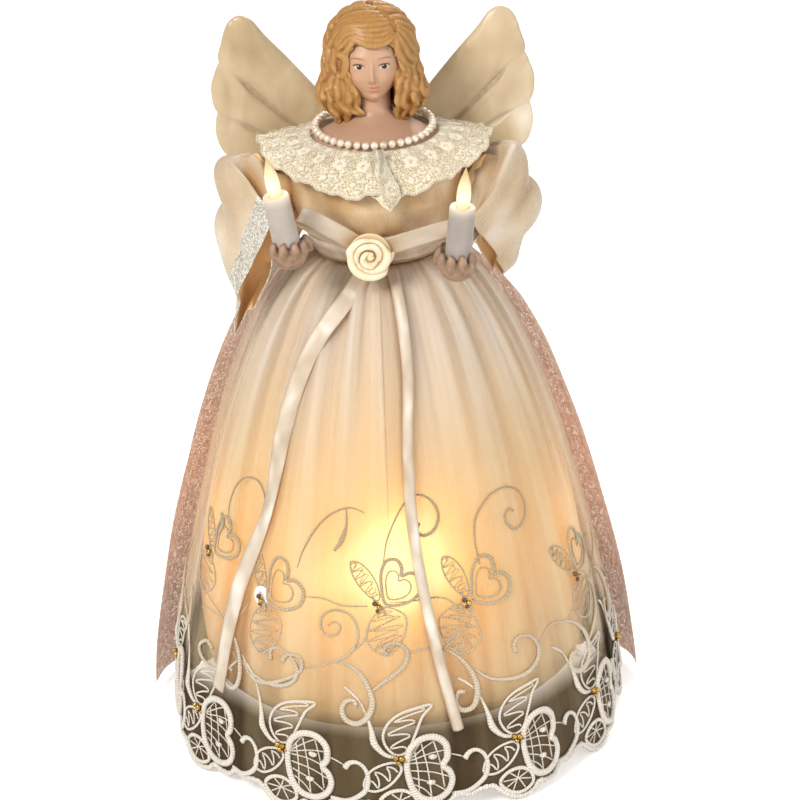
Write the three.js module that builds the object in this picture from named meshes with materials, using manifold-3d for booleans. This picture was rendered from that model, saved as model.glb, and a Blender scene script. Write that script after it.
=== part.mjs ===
// An angel tree topper, about 307 mm (12 in) tall: a dressed figure on a lamp-lit cone.
// A socket tube under the skirt goes over the tree's leader.
// Millimetres, +Z up, facing -Y. Left and right are the viewer's.
// The origin is the middle of the socket tube's mouth.
import * as THREE from "three";
import { mergeVertices } from "three/addons/utils/BufferGeometryUtils.js";
import Module from "manifold-3d";

const wasm = await Module();
wasm.setup();

// Clearance between pieces that touch, and how far a cutting tool runs past what it cuts
const clear = 0.3;
const overrun = 3;
// Clearance of the arms' eyes on the shoulder wire
const running = 0.1;

// Cloth, ribbon and lace thickness
const cloth = 0.8;
const ribbonThickness = 0.6;
const ribbonWidth = 7;

// The socket tube that the tree's leader goes into, and the ring that centres it in the cone
const tube = { bore: 13, wall: 1.6, length: 150 };
const tubeOuter = tube.bore + tube.wall;
const collarRing = { height: 6, below: 8 };

// The translucent cone that holds the skirt out
const cone = { rimRadius: 73, rimHeight: 2, topRadius: 21, aboveTube: 14, wall: 0.8 };
const coneTopZ = tube.length + cone.aboveTube;

// The lamp plate, its eight lamps and their wiring
const plate = { height: 40, radius: 42, thickness: 1.6, lampInset: 9 };
const lampCircle = plate.radius - plate.lampInset;
const lampAngles = [0, 40, 80, 125, 180, 235, 280, 320];
const holder = { length: 18, foot: 3.4, body: 4.1, flange: 5.2, flangeHeight: 1.5, bore: 2.6, boreDepth: 6 };
const bulb = { base: 2.3, baseDepth: 5.4, radius: 2.9, height: 15 };
const wire = { radius: 1.2, lead: 0.9, fromTube: 3.4, behind: 4 };

// The body form: from the cone's top to the shoulders
const waistRise = 12;
const waistZ = coneTopZ + waistRise;
const torso = { wall: 1.5, pivotRise: 27, topRise: 12, halfWidth: 30, front: 22, back: 17.5 };
const waistRadius = cone.topRadius + torso.wall;
const shoulderZ = waistZ + torso.pivotRise;
const torsoTopZ = shoulderZ + torso.topRise;
const shoulderWire = { radius: 1.2, reach: 40, knob: 1.9, knobLength: 1.4, back: 1 };

// The head and shoulder plate
const bust = { height: 17, halfWidth: 30.5, front: 22, back: 16, neck: 6.6 };
const head = { halfWidth: 12.6, halfDepth: 14, halfHeight: 17, rise: 39, forward: 1.5 };
const face = { noseWidth: 1.4, noseDepth: 2.6, noseHeight: 3, lipWidth: 3, lipHeight: 0.9, chin: 3.6 };
const hair = { halfWidth: 22.5, front: 16, back: 19.5, aboveHead: 6, height: 48.5, wave: 0.9 };
const faceWindow = { halfWidth: 10.8, above: 8, below: 25 };
const pearl = { radius: 1.65, joint: 0.7, outside: 3.2, rise: 2.3 };

// The gown: bodice, skirts, cape and lace collar
const bodice = { halfWidth: 36, front: 33, back: 24, armhole: 33, bottomRise: 0.4, top: 2.6 };
const under = { puff: 7, flareHeight: 22, gather: 1.6 };
const over = { flare: 20, drop: 30, layer: 2.9, gather: 2.6, scallop: 2.6 };
const cape = { flare: 6, layer: 1.6, gather: 2.4, raise: 4 };
const capeFolds = 11;
const capeHalfAngle = 80;
const lace = { halfWidth: 46.5, front: 38, back: 24.4, thickness: 0.8, ruffle: 1, scallop: 2.2, rise: 8.6 };
const laceEdge = { side: 3, front: 16, back: 9 };
const neckTilt = 2.2;

// The padded wings and the card that carries them
const wing = { span: 56.5, height: 91, thickness: 7, edge: 1.6, root: 8, below: 31 };
const card = { halfWidth: 22, height: 20, thickness: 1.5, below: 14 };

// The sash, its bow and the ribbon rose
const sash = { width: 8, above: 1.4 };
const bow = { depth: 2.6, leftLength: 26.5, rightLength: 31, root: 3.4 };
const rose = { radius: 9.6, tightest: 1.3, wall: 1, height: 4.6, back: 1.4, rise: 10.5, left: 3.4 };
const tails = { leftEndZ: 9, rightEndZ: 5 };

// The arms, sleeves, hands and candles
const arm = { radius: 1.9, eye: 3.2, eyeWidth: 2.4, eyeFrom: 35.4, reach: 9, fore: 45 };
const wristX = { left: 33.6, right: 29.6 };
const wristDrop = { left: 7.2, right: 14.6 };
const sleeve = { spread: 24, reach: 37, drop: 53, halfWidth: 13 };
const sleeveFolds = 6;
const sleeveFoldShare = 0.05;
const hand = { radius: 7, height: 6.4, wrist: 3.6, wristLength: 9, finger: 1.9, fingerLength: 4.2 };
const fingerCount = 4;
const candle = { radius: 5.1, length: 20.8, bore: 2.7, boreDepth: 8, wireHole: 1.9, lip: 0.7, seat: 3.5 };
const candleLeanDegrees = { left: 9, right: 6, forward: 7 };
const flame = { base: 2.3, baseDepth: 7, radius: 2.7, height: 12, tip: 3.5 };

const satin = { color: 0xf3e6cc, roughness: 0.45, metalness: 0 };
const ivoryLace = { color: 0xf1e6c8, roughness: 0.85, metalness: 0 };
const ribbonSatin = { color: 0xf4eee2, roughness: 0.35, metalness: 0 };
const sheer = { color: 0xf5ead6, roughness: 0.6, metalness: 0, transparent: true, opacity: 0.45 };
const glitterTulle = { color: 0xd9c2b2, roughness: 0.5, metalness: 0.2, transparent: true, opacity: 0.7 };
const bisque = { color: 0xe8c3ac, roughness: 0.6, metalness: 0 };
const handBisque = { color: 0xb08e7c, roughness: 0.6, metalness: 0 };
const paintedHair = { color: 0xd9a75f, roughness: 0.55, metalness: 0 };
const pearlLustre = { color: 0xf7efe6, roughness: 0.2, metalness: 0.1 };
const milkyPlastic = { color: 0xf6e7c6, roughness: 0.5, metalness: 0, transparent: true, opacity: 0.8 };
const whitePlastic = { color: 0xf2eeea, roughness: 0.4, metalness: 0 };
const litGlass = { color: 0xffe6a0, roughness: 0.1, metalness: 0 };
const steel = { color: 0xa8a8a8, roughness: 0.35, metalness: 0.9 };
const greyCard = { color: 0xc9bfae, roughness: 0.9, metalness: 0 };
const ivoryWire = { color: 0xe9e2d2, roughness: 0.5, metalness: 0 };

// Facets round the pieces
const facets = {
  tubeSides: 24, coneSides: 36, plateSides: 24, holderSides: 8, bulbSides: 8, wireSides: 5,
  torsoSides: 16, bustSides: 16, headSides: 16, hairSides: 22, bodiceSides: 28, overskirtSides: 60,
  underskirtSides: 40, capeSides: 24, laceSides: 44, sleeveSides: 20, lobeSides: 13,
  candleSides: 14, beadSides: 4,
};

const between = (a, b, share) => a + (b - a) * share;
const turn = (share) => 2 * Math.PI * share;
const radians = THREE.MathUtils.degToRad;
const point = (x, y, z) => new THREE.Vector3(x, y, z);

// A geometry from points and triangles, turned so that its faces point outwards
function closedGeometry(points, triangles) {
  let volume = 0;
  for (const [a, b, c] of triangles) volume += points[a].dot(points[b].clone().cross(points[c]));
  const facing = volume < 0 ? triangles.map(([a, b, c]) => [a, c, b]) : triangles;
  const geometry = new THREE.BufferGeometry();
  geometry.setAttribute("position", new THREE.Float32BufferAttribute(points.flatMap((p) => p.toArray()), 3));
  geometry.setIndex(facing.flat());
  geometry.computeVertexNormals();
  return geometry;
}

// A solid skinned over rings of as many points each: closed by a fan at each end, or joined up as a loop
function loft(rings, loop = false) {
  const count = rings[0].length;
  const middle = (ring) => ring.reduce((sum, p) => sum.add(p), point(0, 0, 0)).divideScalar(count);
  const points = loop ? rings.flat() : [...rings.flat(), middle(rings[0]), middle(rings.at(-1))];
  const [first, last] = [points.length - 2, points.length - 1];
  const end = rings.length - 1;
  const triangles = [];
  for (let k = 0; k < count; k++) {
    const next = (k + 1) % count;
    if (!loop) triangles.push([first, next, k], [last, end * count + k, end * count + next]);
    for (let r = 0; r < (loop ? rings.length : end); r++) {
      const above = (r + 1) % rings.length;
      const [a, b, c, d] = [r * count + k, r * count + next, above * count + k, above * count + next];
      triangles.push([a, b, d], [a, d, c]);
    }
  }
  return closedGeometry(points, triangles);
}

// A sheet with two faces: front(u, v) and back(u, v) give its points, and a wrapped sheet closes round u
function sheet(front, back, across, along, wrapped) {
  const columns = wrapped ? across : across + 1;
  const points = [];
  for (const side of [front, back])
    for (let j = 0; j <= along; j++) {
      for (let i = 0; i < columns; i++) points.push(side(i / across, j / along));
    }
  const at = (side, i, j) => side * columns * (along + 1) + j * columns + (i % columns);
  const triangles = [];
  const quad = (a, b, c, d) => triangles.push([a, b, c], [a, c, d]);
  for (let i = 0; i < across; i++) {
    for (let j = 0; j < along; j++) {
      quad(at(0, i, j), at(0, i + 1, j), at(0, i + 1, j + 1), at(0, i, j + 1));
      quad(at(1, i, j), at(1, i, j + 1), at(1, i + 1, j + 1), at(1, i + 1, j));
    }
    quad(at(0, i, 0), at(1, i, 0), at(1, i + 1, 0), at(0, i + 1, 0));
    quad(at(0, i, along), at(0, i + 1, along), at(1, i + 1, along), at(1, i, along));
  }
  for (let j = 0; j < along && !wrapped; j++) {
    quad(at(0, 0, j), at(0, 0, j + 1), at(1, 0, j + 1), at(1, 0, j));
    quad(at(0, across, j), at(1, across, j), at(1, across, j + 1), at(0, across, j + 1));
  }
  return closedGeometry(points, triangles);
}

// A ring in a level plane, with its own half-width and its own depths to the front and the back
function levelRing(segments, z, halfWidth, front, back, middleY = 0) {
  return Array.from({ length: segments }, (_, k) => {
    const angle = turn(k / segments);
    const depth = Math.cos(angle) > 0 ? front : back;
    return point(halfWidth * Math.sin(angle), middleY - depth * Math.cos(angle), z);
  });
}

// A round rod or wire along a smooth curve through some points
function rod(points, radius, sides, steps) {
  const curve = new THREE.CatmullRomCurve3(points, false, "centripetal");
  const section = new THREE.Shape(
    Array.from({ length: sides }, (_, k) => {
      const angle = turn(k / sides);
      return new THREE.Vector2(radius * Math.cos(angle), radius * Math.sin(angle));
    }),
  );
  return new THREE.ExtrudeGeometry(section, { steps, extrudePath: curve, bevelEnabled: false });
}

// A solid of revolution from [radius, height] pairs that start and end on the axis, or close on themselves
function turned(profile, segments) {
  const points = profile.map(([r, z]) => new THREE.Vector2(r, z));
  return new THREE.LatheGeometry(points, segments).rotateX(Math.PI / 2);
}

// Booleans
function solid(geometry) {
  const bare = geometry.index ? geometry.toNonIndexed() : geometry.clone();
  for (const name of Object.keys(bare.attributes)) if (name !== "position") bare.deleteAttribute(name);
  const merged = mergeVertices(bare, clear / 1000);
  const made = new wasm.Manifold(
    new wasm.Mesh({
      numProp: 3,
      vertProperties: merged.attributes.position.array,
      triVerts: new Uint32Array(merged.index.array),
    }),
  );
  return made;
}
function geometryOf(made) {
  const { vertProperties, triVerts } = made.getMesh();
  const geometry = new THREE.BufferGeometry();
  geometry.setAttribute("position", new THREE.BufferAttribute(new Float32Array(vertProperties), 3));
  geometry.setIndex(new THREE.BufferAttribute(new Uint32Array(triVerts), 1));
  geometry.computeVertexNormals();
  return geometry;
}
const joined = (...geometries) => geometryOf(geometries.map(solid).reduce((all, next) => all.add(next)));
const cut = (body, ...tools) =>
  geometryOf(tools.map(solid).reduce((left, tool) => left.subtract(tool), solid(body)));

// A rod along X, used for the shoulder wire and to drill for it
function crossRod(halfLength, radius, y, z, sides = 12) {
  return new THREE.CylinderGeometry(radius, radius, 2 * halfLength, sides)
    .rotateZ(Math.PI / 2)
    .translate(0, y, z);
}

const topper = new THREE.Group();
topper.name = "angel_tree_topper";
function add(name, geometry, finish) {
  const mesh = new THREE.Mesh(geometry, new THREE.MeshStandardMaterial(finish));
  mesh.name = name;
  topper.add(mesh);
  return mesh;
}

// The cone's radius at a height, outside
const coneRadius = (z) =>
  between(cone.rimRadius, cone.topRadius, (z - cone.rimHeight) / (coneTopZ - cone.rimHeight));

// Socket tube, open at both ends
add(
  "socket_tube",
  turned(
    [
      [tube.bore, 0],
      [tubeOuter, 0],
      [tubeOuter, tube.length],
      [tube.bore, tube.length],
      [tube.bore, 0],
    ],
    facets.tubeSides,
  ),
  greyCard,
);

// Skirt cone
add(
  "skirt_cone",
  turned(
    [
      [cone.rimRadius, cone.rimHeight],
      [cone.topRadius, coneTopZ],
      [cone.topRadius - cone.wall, coneTopZ],
      [cone.rimRadius - cone.wall, cone.rimHeight],
      [cone.rimRadius, cone.rimHeight],
    ],
    facets.coneSides,
  ),
  milkyPlastic,
);

// Where the two leads run up beside the tube
const leadX = tubeOuter + wire.fromTube;
const leadDrill = (side, z, height) =>
  new THREE.CylinderGeometry(wire.lead + 2 * clear, wire.lead + 2 * clear, height, facets.holderSides)
    .rotateX(Math.PI / 2)
    .translate(side * leadX, wire.behind, z);

// The ring near the tube's top that centres it in the cone
const collarZ = tube.length - collarRing.below - collarRing.height;
const collarRim = (z) => coneRadius(z) - 2 * cone.wall;
add(
  "tube_collar",
  cut(
    turned(
      [
        [tubeOuter + clear, collarZ],
        [collarRim(collarZ), collarZ],
        [collarRim(collarZ + collarRing.height), collarZ + collarRing.height],
        [tubeOuter + clear, collarZ + collarRing.height],
        [tubeOuter + clear, collarZ],
      ],
      facets.tubeSides,
    ),
    leadDrill(-1, collarZ, 4 * collarRing.height),
    leadDrill(1, collarZ, 4 * collarRing.height),
  ),
  whitePlastic,
);

// Lamp plate with a hole for each lamp holder and for each lead
const lampPlace = (degrees) =>
  point(lampCircle * Math.sin(radians(degrees)), -lampCircle * Math.cos(radians(degrees)), 0);
const holderHole = holder.body + clear;
const plateTopZ = plate.height + plate.thickness;
add(
  "lamp_plate",
  cut(
    turned(
      [
        [tubeOuter + clear, plate.height],
        [plate.radius, plate.height],
        [plate.radius, plateTopZ],
        [tubeOuter + clear, plateTopZ],
        [tubeOuter + clear, plate.height],
      ],
      facets.plateSides,
    ),
    ...lampAngles.map((degrees) => {
      const at = lampPlace(degrees);
      return new THREE.CylinderGeometry(holderHole, holderHole, 4 * plate.thickness, facets.holderSides)
        .rotateX(Math.PI / 2)
        .translate(at.x, at.y, plate.height);
    }),
    leadDrill(-1, plate.height, 4 * plate.thickness),
    leadDrill(1, plate.height, 4 * plate.thickness),
  ),
  whitePlastic,
);

// Eight lamps: each holder hangs by its flange in the plate, with its bulb pushed into it
const flangeZ = plateTopZ + clear;
const holderTopZ = flangeZ + holder.flangeHeight;
const holderFootZ = holderTopZ - holder.length;
lampAngles.forEach((degrees, k) => {
  const at = lampPlace(degrees);
  const boreFloorZ = holderTopZ - holder.boreDepth;
  const body = turned(
    [
      [0, holderFootZ],
      [holder.foot, holderFootZ],
      [holder.body, plate.height],
      [holder.body, flangeZ],
      [holder.flange, flangeZ],
      [holder.flange, holderTopZ],
      [holder.bore, holderTopZ],
      [holder.bore, boreFloorZ],
      [0, boreFloorZ],
    ],
    facets.holderSides,
  );
  add(`lamp_holder_${k + 1}`, body.translate(at.x, at.y, 0), whitePlastic);
  add(`lamp_bulb_${k + 1}`, bulbShape(bulb, holderTopZ, facets.bulbSides).translate(at.x, at.y, 0), litGlass);
});

// A small bulb: a base that sits in its holder and a glass that narrows to a point
function bulbShape(size, seatZ, segments) {
  const glassShares = [
    [0.86, 0],
    [1, 0.2],
    [1, 0.62],
    [0.66, 0.88],
  ];
  const profile = [
    [0, seatZ - size.baseDepth],
    [size.base, seatZ - size.baseDepth],
    [size.base, seatZ + clear],
    ...glassShares.map(([across, up]) => [size.radius * across, seatZ + clear + size.height * up]),
    [0, seatZ + clear + size.height],
  ];
  return turned(profile, segments);
}

// The wiring: a ring under the holders, and a lead up to each shoulder
const wireRingZ = holderFootZ - clear - wire.radius;
add(
  "wire_ring",
  new THREE.TorusGeometry(lampCircle, wire.radius, facets.wireSides, facets.plateSides)
    .translate(0, 0, wireRingZ),
  ivoryWire,
);
const leadExit = point(bodice.armhole + clear, wire.behind, shoulderZ - 2 * wire.behind);
function shoulderLead(side, radius) {
  const ringEdge = lampCircle - wire.radius - wire.lead - clear;
  const route = [
    point(side * ringEdge, 0, wireRingZ),
    point(side * between(ringEdge, leadX, 0.6), wire.behind / 2, wireRingZ + wire.behind),
    point(side * leadX, wire.behind, between(wireRingZ, plate.height, 0.7)),
    point(side * leadX, wire.behind, plate.height + overrun),
    point(side * leadX, wire.behind, collarZ - overrun),
    point(side * leadX, wire.behind, collarZ + collarRing.height + overrun),
    point(side * leadX, wire.behind, waistZ),
    point(side * between(leadX, leadExit.x, 0.3), wire.behind, leadExit.z - 2 * overrun),
    point(side * (leadExit.x - 2 * overrun), wire.behind, leadExit.z),
    point(side * (leadExit.x - clear), wire.behind, leadExit.z),
  ];
  return rod(route, radius, facets.wireSides, 18);
}
add("left_lead", shoulderLead(-1, wire.lead), ivoryWire);
add("right_lead", shoulderLead(1, wire.lead), ivoryWire);

// The hollow body form. Its first rings are round to sit on the cone, the rest follow the chest.
const torsoShares = [
  [0.5, 0.84, 0.98, 0.98],
  [0.76, 1, 1, 1],
  [0.93, 0.95, 0.86, 0.9],
  [1, 0.82, 0.7, 0.74],
];
function torsoForm(grow, bottomZ, topZ) {
  const height = torsoTopZ - coneTopZ;
  const round = waistRadius + grow;
  const footRadius = round - torso.wall / 2;
  const rings = [
    levelRing(facets.torsoSides, bottomZ, footRadius, footRadius, footRadius),
    levelRing(facets.torsoSides, waistZ, round, round, round),
    ...torsoShares.map(([up, wide, front, back]) =>
      levelRing(
        facets.torsoSides,
        up < 1 ? coneTopZ + height * up : topZ,
        torso.halfWidth * wide + grow,
        torso.front * front + grow,
        torso.back * back + grow,
      ),
    ),
  ];
  return loft(rings);
}
const torsoBottomZ = coneTopZ + clear;
const shoulderHole = crossRod(shoulderWire.reach, shoulderWire.radius + clear, shoulderWire.back, shoulderZ);
const leadHoles = [-1, 1].map((side) => shoulderLead(side, wire.lead + 2 * clear));
add(
  "torso_form",
  cut(
    torsoForm(0, torsoBottomZ, torsoTopZ),
    torsoForm(-torso.wall, torsoBottomZ - overrun, torsoTopZ - torso.wall),
    shoulderHole,
    ...leadHoles,
  ),
  greyCard,
);

// Wire across the shoulders, which the arms hang on and swing about
const knobX = shoulderWire.reach - shoulderWire.knobLength / 2;
const knob = (side) =>
  crossRod(shoulderWire.knobLength / 2, shoulderWire.knob, shoulderWire.back, shoulderZ)
    .translate(side * knobX, 0, 0);
add(
  "shoulder_wire",
  joined(crossRod(shoulderWire.reach, shoulderWire.radius, shoulderWire.back, shoulderZ), knob(-1), knob(1)),
  steel,
);

// Shoulder plate, neck and head, cast in one piece
const bustZ = torsoTopZ + clear;
const headZ = torsoTopZ + head.rise;
const bustShares = [
  [0, 1, 1, 1],
  [0.22, 0.93, 0.95, 0.94],
  [0.42, 0.77, 0.87, 0.86],
  [0.6, 0.56, 0.7, 0.74],
  [0.78, 0.35, 0.46, 0.58],
];
function bustForm(grow) {
  const necks = [bust.height, head.rise].map((up) =>
    levelRing(facets.bustSides, bustZ + up, bust.neck + grow, bust.neck + grow, bust.neck + grow),
  );
  const rings = bustShares.map(([up, wide, front, back]) =>
    levelRing(
      facets.bustSides,
      bustZ + bust.height * up,
      bust.halfWidth * wide + grow,
      bust.front * front + grow,
      bust.back * back + grow,
    ),
  );
  const footZ = bustZ - overrun;
  if (grow > 0) {
    rings.unshift(
      levelRing(facets.bustSides, footZ, bust.halfWidth + grow, bust.front + grow, bust.back + grow),
    );
  }
  return loft([...rings, ...necks]);
}
// The head: an egg whose lower half narrows to the jaw and whose back is flatter than its front
function headForm(grow) {
  const ball = new THREE.SphereGeometry(1, facets.headSides, 12).rotateX(Math.PI / 2);
  const places = ball.attributes.position;
  const jawShare = 0.34;
  for (let i = 0; i < places.count; i++) {
    const [x, y, z] = [places.getX(i), places.getY(i), places.getZ(i)];
    const narrow = z < 0 ? 1 - jawShare * z * z : 1;
    places.setXYZ(
      i,
      x * narrow * (head.halfWidth + grow),
      y * (head.halfDepth + grow) * (y > 0 ? 1 : between(1, narrow, 0.5)) - head.forward,
      z * (head.halfHeight + grow) + headZ,
    );
  }
  return ball;
}
const blob = (x, y, z, rx, ry, rz) => new THREE.SphereGeometry(1, 8, 6).scale(rx, ry, rz).translate(x, y, z);
const faceY = -head.forward - head.halfDepth;
add(
  "head_and_shoulders",
  joined(
    bustForm(0),
    headForm(0),
    blob(
      0,
      faceY + face.noseDepth / 3,
      headZ - face.noseHeight * 0.9,
      face.noseWidth,
      face.noseDepth,
      face.noseHeight,
    ),
    blob(
      0,
      faceY + face.lipHeight * 1.6,
      headZ - face.noseHeight * 2.3,
      face.lipWidth,
      face.lipHeight * 2,
      face.lipHeight,
    ),
    blob(
      0,
      faceY + face.chin * 1.5,
      headZ - head.halfHeight + face.chin * 0.95,
      face.chin,
      face.chin,
      face.chin,
    ),
  ),
  bisque,
);

// Moulded hair: waved locks down to the shoulders, with a window for the face
const hairTopZ = headZ + head.halfHeight + hair.aboveHead;
const hairShares = [
  [0.04, 0.36, 0.45, 0.42],
  [0.15, 0.6, 0.8, 0.7],
  [0.29, 0.76, 1, 0.92],
  [0.47, 0.82, 0.97, 1],
  [0.66, 0.87, 0.8, 1],
  [0.81, 1, 0.66, 0.98],
  [0.92, 0.86, 0.5, 0.86],
  [1, 0.68, 0.34, 0.7],
];
function hairForm() {
  const segments = facets.hairSides;
  const locks = 8;
  const rings = hairShares.map(([down, wide, front, back]) => {
    const ring = levelRing(
      segments,
      hairTopZ - hair.height * down,
      hair.halfWidth * wide,
      hair.front * front,
      hair.back * back,
    );
    ring.forEach((p, k) => {
      const wave = Math.cos(turn((locks * k) / segments) + turn(down)) * down * 2;
      const swell = 1 + (hair.wave / hair.halfWidth) * wave;
      p.x *= swell;
      p.y *= swell;
    });
    return ring;
  });
  return loft(rings);
}
const windowDepth = hair.front + overrun;
add(
  "hair",
  cut(
    hairForm(),
    headForm(2 * clear),
    bustForm(2 * clear),
    new THREE.CylinderGeometry(1, 1, windowDepth, 24)
      .scale(faceWindow.halfWidth, 1, (faceWindow.above + faceWindow.below) / 2)
      .translate(0, -windowDepth / 2 - head.forward, headZ + (faceWindow.above - faceWindow.below) / 2),
  ),
  paintedHair,
);

// Bodice: padded satin round the body form, cut flat at the armholes
const bodiceBottomZ = waistZ + bodice.bottomRise;
const bodiceTopZ = torsoTopZ + bodice.top;
const bodiceShares = [
  [0, 0, 0, 0],
  [0.18, 0.08, 0.1, 0.1],
  [0.36, 0.5, 0.75, 0.6],
  [0.58, 0.9, 1, 1],
  [0.8, 1, 0.86, 0.9],
];
const bodiceFoot = waistRadius + cloth + 4 * clear;
const bodiceRings = bodiceShares.map(([up, wide, front, back]) =>
  levelRing(
    facets.bodiceSides,
    between(bodiceBottomZ, bodiceTopZ, up),
    between(bodiceFoot, bodice.halfWidth, wide),
    between(bodiceFoot, bodice.front, front),
    between(bodiceFoot, bodice.back, back),
  ),
);
const neckline = levelRing(
  facets.bodiceSides,
  bodiceTopZ,
  bust.halfWidth + 2 * cloth,
  bust.front + 2 * cloth,
  bust.back + 2 * cloth,
);
const sideBlock = (side) =>
  new THREE.BoxGeometry(bodice.halfWidth, 4 * bodice.front, 4 * bodice.front).translate(
    side * (bodice.armhole + bodice.halfWidth / 2),
    0,
    shoulderZ,
  );
add(
  "bodice",
  cut(
    loft([...bodiceRings, neckline]),
    torsoForm(clear, coneTopZ, torsoTopZ + clear),
    bustForm(clear),
    shoulderHole,
    ...leadHoles,
    sideBlock(-1),
    sideBlock(1),
  ),
  satin,
);

// How the gathered cloth waves round the figure, from -1 to 1, shared by both skirts so that they nest
const gathers = 11;
const drape = (angle) =>
  0.55 * Math.cos(gathers * angle) + 0.28 * Math.cos(7 * angle + 1.3) + 0.17 * Math.cos(4 * angle + 0.5);

// A cloth bell's radius at a height, from the waist to the hem along a superellipse
function bellRadius(z, waistAt, hemAt, atWaist, atHem, fullness) {
  const rise = THREE.MathUtils.clamp((z - hemAt) / (waistAt - hemAt), 0, 1);
  return between(atWaist, atHem, (1 - rise ** fullness) ** (1 / fullness));
}
const skirtFullness = 1.5;
const underWaist = waistRadius + clear + cloth;
const flareRadius = cone.rimRadius + under.puff;
const hemInRadius = cone.rimRadius + clear + cloth;
function underRadius(z) {
  if (z >= under.flareHeight) {
    return bellRadius(z, waistZ, under.flareHeight, underWaist, flareRadius, skirtFullness);
  }
  const turnIn = (under.flareHeight - z) / under.flareHeight;
  return between(hemInRadius, flareRadius, Math.sqrt(1 - turnIn ** 2));
}
const hemZ = -over.drop;
const overWaist = underWaist + 2 * clear + cloth;
const overHem = cone.rimRadius + over.flare;
function overRadius(z) {
  const bell = bellRadius(z, waistZ, hemZ, overWaist, overHem, skirtFullness);
  if (z > waistZ - clear) return overWaist;
  const apart = Math.min(over.layer, 2 * clear + cloth + (waistZ - z) / 4);
  return Math.max(bell, underRadius(Math.max(z, 0)) + apart);
}
// The gathers fade out at the waist seam and at a hem that is held
const waistFade = (z) => Math.min(1, Math.max(0, waistZ - z) / torso.pivotRise);
const overFold = (angle, z) => over.gather * waistFade(z) * drape(angle);
const underFold = (angle, z) =>
  under.gather * waistFade(z) * drape(angle) * Math.min(1, Math.max(0, z) / under.flareHeight);

const aroundPoint = (angle, radius, z) => point(radius * Math.sin(angle), -radius * Math.cos(angle), z);

// Rows down a skirt bunch up near the waist, where it curves most
const rowShare = (v) => v ** 1.6;
function skirt(radiusAt, foldAt, topZ, bottomAt, segments, rows) {
  const face = (inset) => (u, v) => {
    const angle = turn(u);
    const z = between(topZ, bottomAt(angle), rowShare(v));
    return aroundPoint(angle, radiusAt(z) + foldAt(angle, z) - inset, z);
  };
  return sheet(face(0), face(cloth), segments, rows, true);
}
add("underskirt", skirt(underRadius, underFold, waistZ, () => 0, facets.underskirtSides, 6), satin);
const hemScallops = 12;
const scallopAt = (angle) => hemZ + over.scallop * Math.abs(Math.sin((hemScallops * angle) / 2));
add("overskirt", skirt(overRadius, overFold, waistZ, scallopAt, facets.overskirtSides, 6), sheer);

// Cape of glitter tulle: it hangs from the back of the waist, outside the overskirt
const capeHemZ = hemZ + cape.raise;
function capePoint(u, v, inset) {
  const down = rowShare(v);
  const z = between(waistZ - clear, capeHemZ, down);
  const angle = Math.PI + (2 * u - 1) * radians(capeHalfAngle);
  const free = overRadius(z) + over.gather * waistFade(z) + cape.layer + cape.flare * Math.sqrt(down);
  const fold = cape.gather * waistFade(z) * (1 + Math.cos(capeFolds * angle)) / 2;
  return aroundPoint(angle, free + fold - inset, z);
}
add(
  "back_cape",
  sheet(
    (u, v) => capePoint(u, v, 0),
    (u, v) => capePoint(u, v, cloth),
    facets.capeSides,
    6,
    false,
  ),
  glitterTulle,
);

// Lace collar: a scalloped, ruffled ring that lies over the neckline and the sleeve heads
const laceZ = torsoTopZ + lace.rise;
const scallops = 11;
function lacePoint(u, v, inset) {
  const angle = turn(u);
  const facing = Math.cos(angle);
  const toFront = Math.max(0, facing) ** 2;
  const toBack = Math.max(0, -facing) ** 2;
  const innerDepth = facing > 0 ? bust.front - cloth : bust.back - cloth / 2;
  const outerDepth = facing > 0 ? lace.front : lace.back;
  const edge = 1 - (lace.scallop / lace.halfWidth) * (1 - Math.abs(Math.cos((scallops * angle) / 2)));
  const across = between(bust.halfWidth * 0.82, lace.halfWidth * edge, v);
  const deep = between(innerDepth, outerDepth * edge, v);
  const atFront = (laceEdge.front - laceEdge.side) * toFront;
  const fall = laceEdge.side + atFront + (laceEdge.back - laceEdge.side) * toBack;
  const ruffle = lace.ruffle * v * Math.cos(scallops * angle) * toFront;
  const z = laceZ - neckTilt * facing - fall * v ** 1.2 + ruffle - inset;
  return point(across * Math.sin(angle), -deep * facing, z);
}
add(
  "lace_collar",
  sheet(
    (u, v) => lacePoint(u, v, 0),
    (u, v) => lacePoint(u, v, lace.thickness),
    facets.laceSides,
    2,
    true,
  ),
  ivoryLace,
);

// Pearl necklace: a strand of beads that touch, hanging lower at the front
function strand() {
  const wide = bust.halfWidth * 0.82 - pearl.outside / 2;
  const deep = bust.front - pearl.outside / 4;
  const line = new THREE.CatmullRomCurve3(
    Array.from({ length: 16 }, (_, k) => {
      const angle = turn(k / 16);
      const depth = Math.cos(angle) > 0 ? deep : deep * 0.92;
      return point(
        wide * Math.sin(angle),
        -depth * Math.cos(angle),
        laceZ + pearl.rise - neckTilt * Math.cos(angle),
      );
    }),
    true,
  );
  const beads = Math.round(line.getLength() / (2 * pearl.radius));
  const rings = Array.from({ length: 2 * beads }, (_, k) => {
    const along = k / (2 * beads);
    const middle = line.getPointAt(along);
    const out = middle.clone().setZ(0).normalize();
    const up = out.clone().cross(line.getTangentAt(along));
    const radius = k % 2 ? pearl.radius : pearl.joint;
    return Array.from({ length: facets.beadSides }, (_, i) => {
      const angle = turn(i / facets.beadSides);
      return middle
        .clone()
        .addScaledVector(out, radius * Math.cos(angle))
        .addScaledVector(up, radius * Math.sin(angle));
    });
  });
  return loft(rings, true);
}
add("pearl_necklace", strand(), pearlLustre);

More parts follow.
